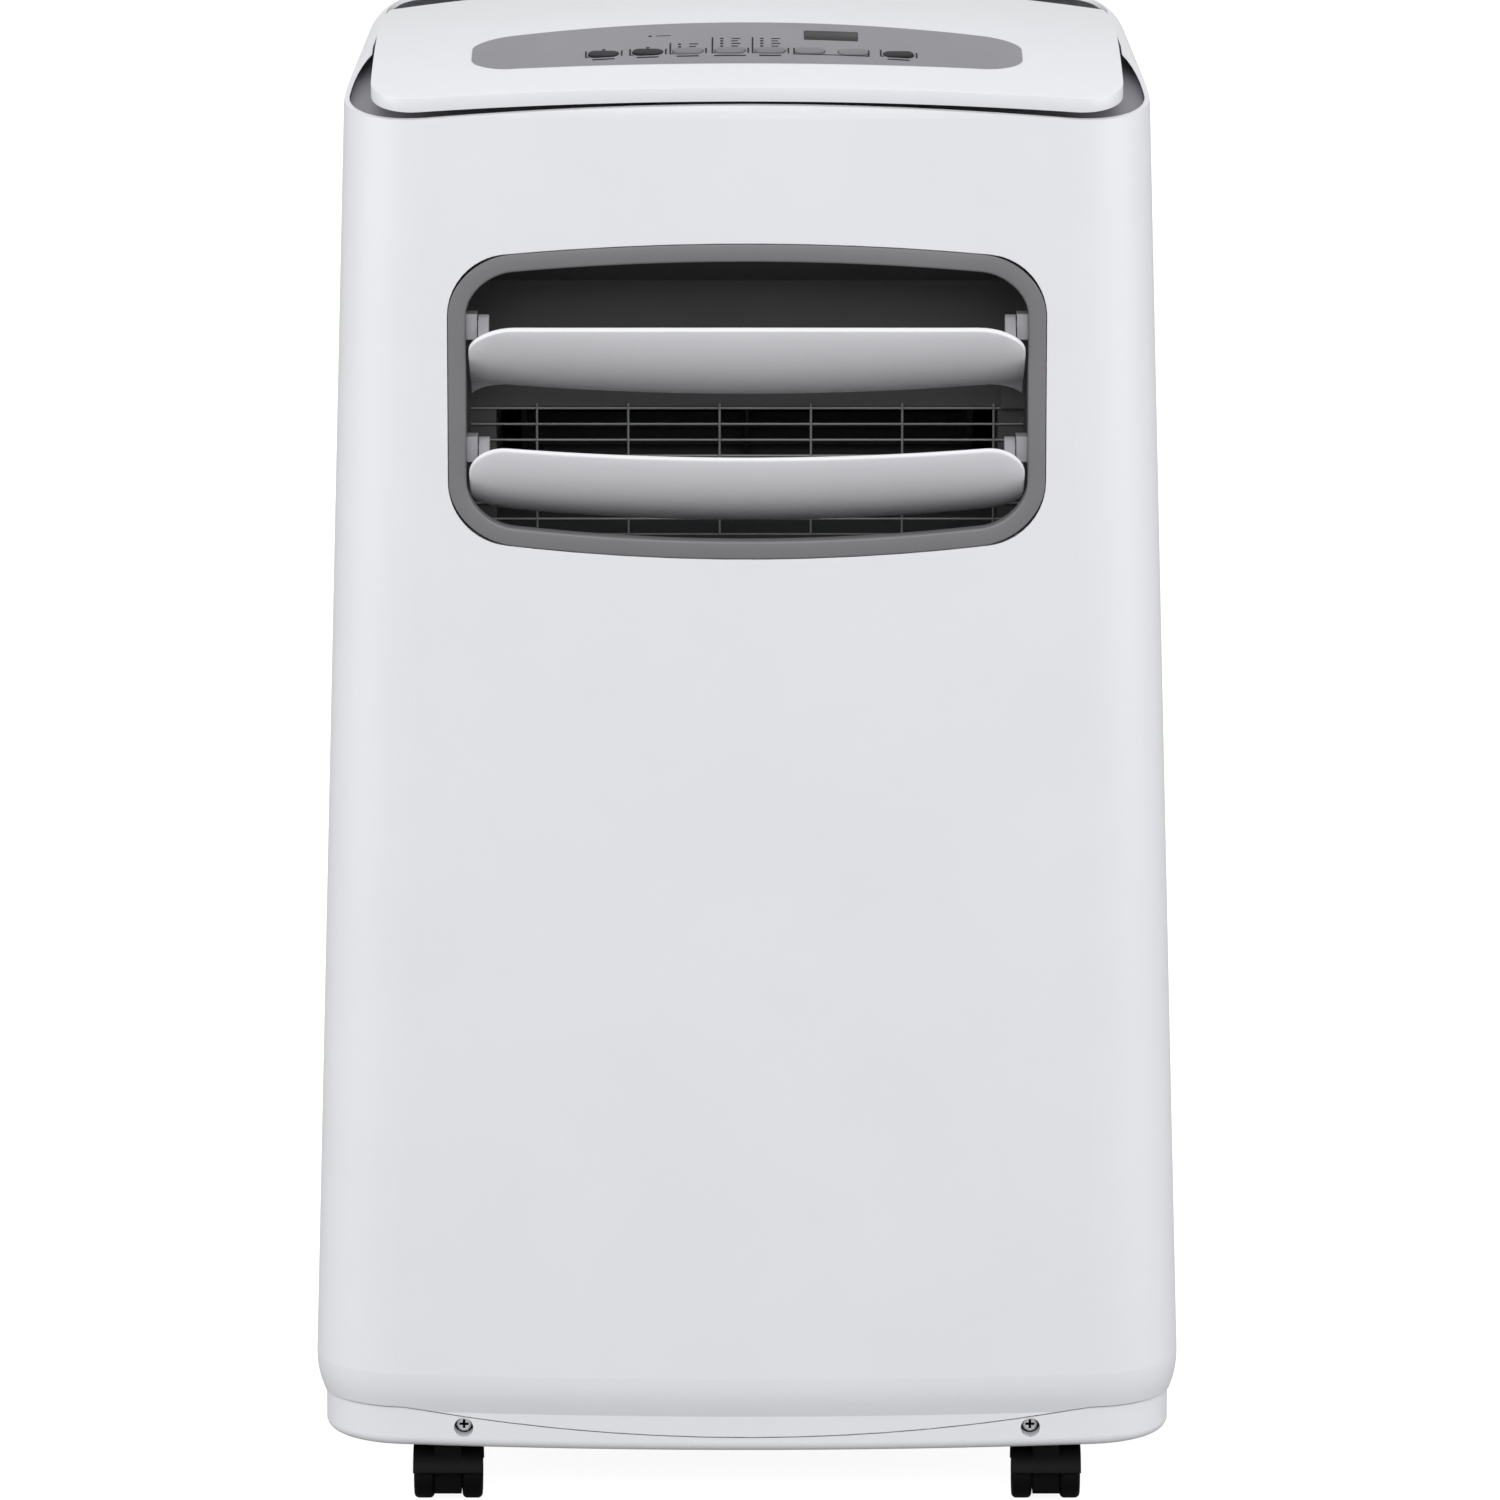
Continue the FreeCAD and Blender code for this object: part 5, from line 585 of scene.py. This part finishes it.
def make_bezel():
    """A ring round the outlet with softened edges, let in flush with the front."""
    bm = bmesh.new()
    loop = outline(bm, -VENT_HALF, VENT_HALF, -VENT_RISE, VENT_RISE, VENT_CORNER, VENT_CORNER, 16,
                   36, VENT_BULGE)
    face = filled(bm, loop)
    ring = bmesh.ops.inset_region(bm, faces=[face], thickness=BEZEL_RING, use_even_offset=True,
                                  use_boundary=True)
    bmesh.ops.delete(bm, geom=[face], context="FACES")
    thickened(bm, [f for f in ring["faces"] if f.is_valid], BEZEL_DEPTH)
    front = rim_edges(bm, 0.0)
    inner = [e for e in front if within_ring(e)]
    outer = [e for e in front if e not in inner]
    rounded(bm, inner, 1.3 * MM, 4)
    rounded(bm, [e for e in outer if e.is_valid], 0.7 * MM, 3)
    stood_on_front(bm, VENT_HEIGHT)
    return piece("bezel", bm, "bezel_grey", stands_for=["vent_bezel"])


def within_ring(edge):
    middle = (edge.verts[0].co + edge.verts[1].co) / 2
    return (abs(middle.x) < VENT_HALF - BEZEL_RING + 0.5 * MM
            and abs(middle.y) < VENT_RISE - BEZEL_RING + 0.5 * MM
            and corner_gap(middle) > BEZEL_RING / 2)


def corner_gap(place):
    """How far inside the ring's outer line a place is, near a corner."""
    over_x = abs(place.x) - (VENT_HALF - VENT_CORNER)
    drop = arc_drop(place.x, VENT_BULGE)
    over_y = abs(place.y) + drop - (VENT_RISE - VENT_CORNER)
    if over_x <= 0.0 or over_y <= 0.0:
        return BEZEL_RING if over_y < VENT_CORNER - BEZEL_RING / 2 else 0.0
    return VENT_CORNER - math.hypot(over_x, over_y)


def wire(bm, start, end, radius, sides=8):
    """A round wire between two places."""
    run = Vector(end) - Vector(start)
    turn = run.to_track_quat("Z", "Y").to_matrix().to_4x4()
    middle = (Vector(start) + Vector(end)) / 2
    bmesh.ops.create_cone(bm, cap_ends=True, segments=sides, radius1=radius, radius2=radius,
                          depth=run.length, matrix=Matrix.Translation(middle) @ turn)


def make_guard():
    """Level and upright round wires in front of the rear window, welded where they cross."""
    low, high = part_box("outlet_guard")
    bm = bmesh.new()
    back = low.y - 1.2 * MM
    reach = VENT_HALF - BEZEL_RING - 0.4 * MM
    for index in range(0, int((high.z - low.z) / GUARD_PITCH) + 1):
        z = high.z - index * GUARD_PITCH - GUARD_WIRE
        wire(bm, (-reach, back, z), (reach, back, z), GUARD_WIRE)
    for index in range(-2, 4):
        x = index * POST_PITCH - POST_SHIFT
        if low.x < x < high.x:
            wire(bm, (x, back - GUARD_WIRE, low.z + GUARD_WIRE),
                 (x, back - GUARD_WIRE, high.z + 2.0 * MM), GUARD_WIRE)
    return piece("guard", bm, "duct_grey", stands_for=["outlet_guard"], look="guard_grey")


make_bezel()
make_guard()


# ---- louvers -----------------------------------------------------------------------------------

REST_ANGLE = math.radians(54.0)
PIVOT_REACH = -0.160
BLADE_FORWARD = 0.0216
BLADE_PLATE = 0.0024
BLADE_BULGE = 0.006
BLADE_HALF = 0.1404
BLADE_CORNER = 0.024
UPPER_BLADE_UP = 0.0338
UPPER_BLADE_DOWN = 0.0337
EAR_TIP = 0.0473
EAR_ROOT = 0.13505
EAR_ROUND = 0.0142
LOWER_BLADE_UP = 0.0273
LOWER_BLADE_DOWN = 0.0390
LOWER_TOP_CORNER = 0.020
ARM_OUT = 0.1359
ARM_THICK = 0.0055
ARM_HALF = 0.0055
ARM_REACH = 0.0194
PIN = 0.0025
PIN_OUT = 0.1414
CRANK = 0.014
CRANK_ANGLE = math.radians(20.0)
CRANK_IN = 0.1449
CRANK_OUT = 0.1479
CRANK_HALF = 0.0045
CRANK_PIN = 0.0018

bearing_low, bearing_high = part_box("louver_bearings")
BEARING_HALF = 0.0065
UPPER_PIVOT = bearing_high.z - BEARING_HALF
LOWER_PIVOT = bearing_low.z + BEARING_HALF


def blade_face(x, z, up, down):
    """How far forward the shut blade's front is: bulged in section, bowed along its length."""
    half = (up + down) / 2
    radius = (half * half + BLADE_BULGE * BLADE_BULGE) / (2 * BLADE_BULGE)
    step = min(abs(z - (up - down) / 2), half)
    return arc_drop(step, radius) + arc_drop(x, BOW) - BLADE_FORWARD - BLADE_BULGE


def turned_open(bm, pivot):
    bmesh.ops.rotate(bm, verts=bm.verts[:], matrix=Matrix.Rotation(REST_ANGLE, 3, "X"))
    bmesh.ops.translate(bm, vec=(0.0, PIVOT_REACH, pivot), verts=bm.verts[:])


def make_blade(name, corners, rounds, up, down, bulged_edge, pivot):
    """A curved plate with rounded edges. It is bent shut, then turned open."""
    bm = bmesh.new()
    started = [bm.verts.new((x, z, 0.0)) for x, z in corners]
    bm.faces.new(started)
    for indices, offset in rounds:
        bmesh.ops.bevel(bm, geom=[started[i] for i in indices], offset=offset,
                        offset_type="OFFSET", segments=10, profile=0.5, affect="VERTICES",
                        clamp_overlap=False, material=-1)
    thickened(bm, bm.faces[:], BLADE_PLATE)
    rounded(bm, rim_edges(bm, 0.0) + rim_edges(bm, -BLADE_PLATE), 0.9 * MM, 3)
    low = min(v.co.y for v in bm.verts)
    sliced(bm, "X", -BLADE_HALF, BLADE_HALF, 0.010)
    sliced(bm, "Y", low, up, 0.005)
    merged_flat(bm)
    for v in bm.verts:
        share = max(0.0, v.co.y * bulged_edge) / (up if bulged_edge > 0 else down)
        v.co.y -= bulged_edge * arc_drop(v.co.x, VENT_BULGE) * min(1.0, share)
    bmesh.ops.rotate(bm, verts=bm.verts[:], matrix=Matrix.Rotation(math.pi / 2, 3, "X"))
    for v in bm.verts:
        v.co.y += blade_face(v.co.x, v.co.z, up, down)
    turned_open(bm, pivot)
    return piece(name + "_blade", bm, "white_louver", name, [name])


def bar_across(bm, left, start, end, low, high, thick, corner):
    """A flat bar lying along Y and Z, from its left face to the right by its thickness."""
    part = bmesh.new()
    loop = outline(part, start, end, low, high, corner, corner, 6)
    thickened(part, [filled(part, loop)], thick)
    rounded(part, rim_edges(part, 0.0) + rim_edges(part, -thick), 0.4 * MM, 2)
    bmesh.ops.transform(part, matrix=Matrix(((0, 0, 1, 0), (1, 0, 0, 0), (0, 1, 0, 0), (0, 0, 0, 1))),
                        verts=part.verts[:])
    bmesh.ops.translate(part, vec=(left + thick, 0.0, 0.0), verts=part.verts[:])
    poured(bm, part)


def make_arms(name, pivot, shaft_end):
    """The arms behind the blade with the pins they turn on, and the crank outside the duct."""
    bm = bmesh.new()
    for side in (-1, 1):
        left = -ARM_OUT if side < 0 else ARM_OUT - ARM_THICK
        bar_across(bm, left, -ARM_REACH, ARM_HALF, -ARM_HALF, ARM_HALF, ARM_THICK,
                   0.97 * ARM_HALF)
    wire(bm, (-ARM_OUT, 0.0, 0.0), (-PIN_OUT, 0.0, 0.0), PIN, 20)
    wire(bm, (ARM_OUT, 0.0, 0.0), (shaft_end, 0.0, 0.0), PIN, 20)
    turned_open(bm, pivot)
    crank = bmesh.new()
    bar_across(crank, CRANK_IN, -CRANK_HALF, CRANK + CRANK_HALF, -CRANK_HALF, CRANK_HALF,
               CRANK_OUT - CRANK_IN, 0.97 * CRANK_HALF)
    wire(crank, (CRANK_OUT, CRANK, 0.0), (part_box("lower_louver")[1].x, CRANK, 0.0), CRANK_PIN, 16)
    bmesh.ops.rotate(crank, verts=crank.verts[:], matrix=Matrix.Rotation(CRANK_ANGLE, 3, "X"))
    bmesh.ops.translate(crank, vec=(0.0, PIVOT_REACH, pivot), verts=crank.verts[:])
    poured(bm, crank)
    return piece(name + "_arms", bm, "white_louver", name, look="arm_grey")


make_blade("upper_louver",
           [(-BLADE_HALF, -EAR_TIP), (-EAR_ROOT, -UPPER_BLADE_DOWN), (EAR_ROOT, -UPPER_BLADE_DOWN),
            (BLADE_HALF, -EAR_TIP), (BLADE_HALF, UPPER_BLADE_UP), (-BLADE_HALF, UPPER_BLADE_UP)],
           [((4, 5), BLADE_CORNER), ((1, 2), EAR_ROUND)],
           UPPER_BLADE_UP, UPPER_BLADE_DOWN, 1, UPPER_PIVOT)
make_blade("lower_louver",
           [(-BLADE_HALF, -LOWER_BLADE_DOWN), (BLADE_HALF, -LOWER_BLADE_DOWN),
            (BLADE_HALF, LOWER_BLADE_UP), (-BLADE_HALF, LOWER_BLADE_UP)],
           [((0, 1), BLADE_CORNER), ((2, 3), LOWER_TOP_CORNER)],
           LOWER_BLADE_UP, LOWER_BLADE_DOWN, -1, LOWER_PIVOT)
make_arms("upper_louver", UPPER_PIVOT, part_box("upper_louver")[1].x)
make_arms("lower_louver", LOWER_PIVOT, CRANK_OUT)


# ---- screws at the base ------------------------------------------------------------------------

SCREW_HEAD = 0.004
SCREW_WELL = 0.005
SCREW_HEAD_HEIGHT = 0.0026
RECESS_LENGTH = 0.0046
RECESS_WIDTH = 0.0012


def make_screw_details():
    """Painted shade: a black cross in each screw's head for the shade in its cross recess, and a
    black ring round the head in its well for the shadow there.
    """
    low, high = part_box("casing_screws")
    height = (low.z + high.z) / 2
    bm = bmesh.new()
    for x in (low.x + SCREW_HEAD, high.x - SCREW_HEAD):
        # Painted shade: each screw gets a black cross and a black ring, standing for the shade in its
        # recess and well.
        part = bmesh.new()
        for long_side, short_side in ((RECESS_LENGTH, RECESS_WIDTH), (RECESS_WIDTH, RECESS_LENGTH)):
            bar = bmesh.new()
            loop = outline(bar, -long_side / 2, long_side / 2, -short_side / 2, short_side / 2,
                           0.4 * MM, 0.4 * MM, 3)
            thickened(bar, [filled(bar, loop)], 0.8 * MM)
            poured(part, bar)
        bmesh.ops.translate(part, vec=(0.0, 0.0, -0.35 * MM), verts=part.verts[:])
        ring = bmesh.new()
        loop = outline(ring, -SCREW_WELL, SCREW_WELL, -SCREW_WELL, SCREW_WELL, 0.99 * SCREW_WELL,
                       0.99 * SCREW_WELL, 10)
        loop += outline(ring, -SCREW_HEAD, SCREW_HEAD, -SCREW_HEAD, SCREW_HEAD, 0.99 * SCREW_HEAD,
                        0.99 * SCREW_HEAD, 10)
        made = bmesh.ops.triangle_fill(ring, use_beauty=True, edges=loop)["geom"]
        thickened(ring, [f for f in made if isinstance(f, bmesh.types.BMFace)], 0.3 * MM)
        bmesh.ops.translate(ring, vec=(0.0, 0.0, 0.4 * MM - SCREW_HEAD_HEIGHT), verts=ring.verts[:])
        poured(part, ring)
        bmesh.ops.rotate(part, verts=part.verts[:], matrix=Matrix.Rotation(math.pi / 2, 3, "X"))
        bmesh.ops.translate(part, vec=(x, low.y, height), verts=part.verts[:])
        poured(bm, part)
    # The black_plastic finish here is painted shade in the screw recesses and wells, not a black
    # part.
    return piece("screw_recess_painted_shade", bm, "black_plastic")


make_screw_details()


# ---- floor, lights and camera ------------------------------------------------------------------

FLOOR_SIZE = 80.0
FLOOR_GLOW = 0.92
WORLD_LIGHT = 0.78
VIEW_HEIGHT = 0.365
VIEW_DISTANCE = 4.5
VIEW_ELEVATION = math.radians(11.0)
LENS_LENGTH = 203.8
LENS_SHIFT = 0.002
LIGHT_AIM = (0.0, 0.0, 0.4)
SIDE_OUT, SIDE_FORWARD, SIDE_UP = 3.2, -0.8, 1.0
SIDE_WIDTH, SIDE_HEIGHT, SIDE_POWER = 2.4, 2.6, 42.0
FRONT_PLACE = (0.0, -4.6, 3.0)
FRONT_WIDTH, FRONT_HEIGHT, FRONT_POWER = 3.4, 2.0, 110.0


def make_floor():
    bm = bmesh.new()
    bmesh.ops.create_grid(bm, x_segments=4, y_segments=4, size=FLOOR_SIZE / 2)
    mesh = bpy.data.meshes.new("floor")
    bm.to_mesh(mesh)
    bm.free()
    floor = bpy.data.objects.new("floor", mesh)
    bpy.context.scene.collection.objects.link(floor)
    material, tree, shader = new_material("studio_floor", (0.35, 0.35, 0.35), 0.9, 0.1)
    vary_colour(tree, shader, pattern(tree, 0.7, 2.0), (0.34, 0.34, 0.34), (0.36, 0.36, 0.36))
    shader.inputs["Emission Color"].default_value = (1.0, 1.0, 1.0, 1.0)
    seen = tree.nodes.new("ShaderNodeLightPath")
    glow = tree.nodes.new("ShaderNodeMath")
    glow.operation = "MULTIPLY"
    glow.inputs[1].default_value = FLOOR_GLOW
    tree.links.new(seen.outputs["Is Camera Ray"], glow.inputs[0])
    tree.links.new(glow.outputs["Value"], shader.inputs["Emission Strength"])
    mesh.materials.append(material)


def soft_light(name, place, width, height, power):
    lamp = bpy.data.lights.new(name, "AREA")
    lamp.shape = "RECTANGLE"
    lamp.size = width
    lamp.size_y = height
    lamp.energy = power
    holder = bpy.data.objects.new(name, lamp)
    holder.location = place
    aim = Vector(LIGHT_AIM) - Vector(place)
    holder.rotation_euler = aim.to_track_quat("-Z", "Y").to_euler()
    bpy.context.scene.collection.objects.link(holder)


def light_studio():
    world = bpy.data.worlds.new("studio")
    world.use_nodes = True
    background = world.node_tree.nodes["Background"]
    background.inputs["Color"].default_value = (1.0, 1.0, 1.0, 1.0)
    seen = world.node_tree.nodes.new("ShaderNodeLightPath")
    span = world.node_tree.nodes.new("ShaderNodeMapRange")
    span.inputs["To Min"].default_value = WORLD_LIGHT
    span.inputs["To Max"].default_value = 1.0
    world.node_tree.links.new(seen.outputs["Is Camera Ray"], span.inputs["Value"])
    world.node_tree.links.new(span.outputs["Result"], background.inputs["Strength"])
    bpy.context.scene.world = world
    for name, side in (("left_softbox", -SIDE_OUT), ("right_softbox", SIDE_OUT)):
        soft_light(name, (side, SIDE_FORWARD, SIDE_UP), SIDE_WIDTH, SIDE_HEIGHT, SIDE_POWER)
    soft_light("front_softbox", FRONT_PLACE, FRONT_WIDTH, FRONT_HEIGHT, FRONT_POWER)


def place_camera():
    lens = bpy.data.cameras.new("camera")
    lens.sensor_width = 36.0
    lens.lens = LENS_LENGTH
    lens.shift_x = LENS_SHIFT
    lens.clip_end = 200.0
    camera = bpy.data.objects.new("camera", lens)
    camera.location = (0.0, -VIEW_DISTANCE * math.cos(VIEW_ELEVATION),
                       VIEW_HEIGHT + VIEW_DISTANCE * math.sin(VIEW_ELEVATION))
    camera.rotation_euler = (math.pi / 2 - VIEW_ELEVATION, 0.0, 0.0)
    bpy.context.scene.collection.objects.link(camera)
    bpy.context.scene.camera = camera


make_floor()
light_studio()
place_camera()
bpy.context.scene.view_settings.view_transform = "Standard"
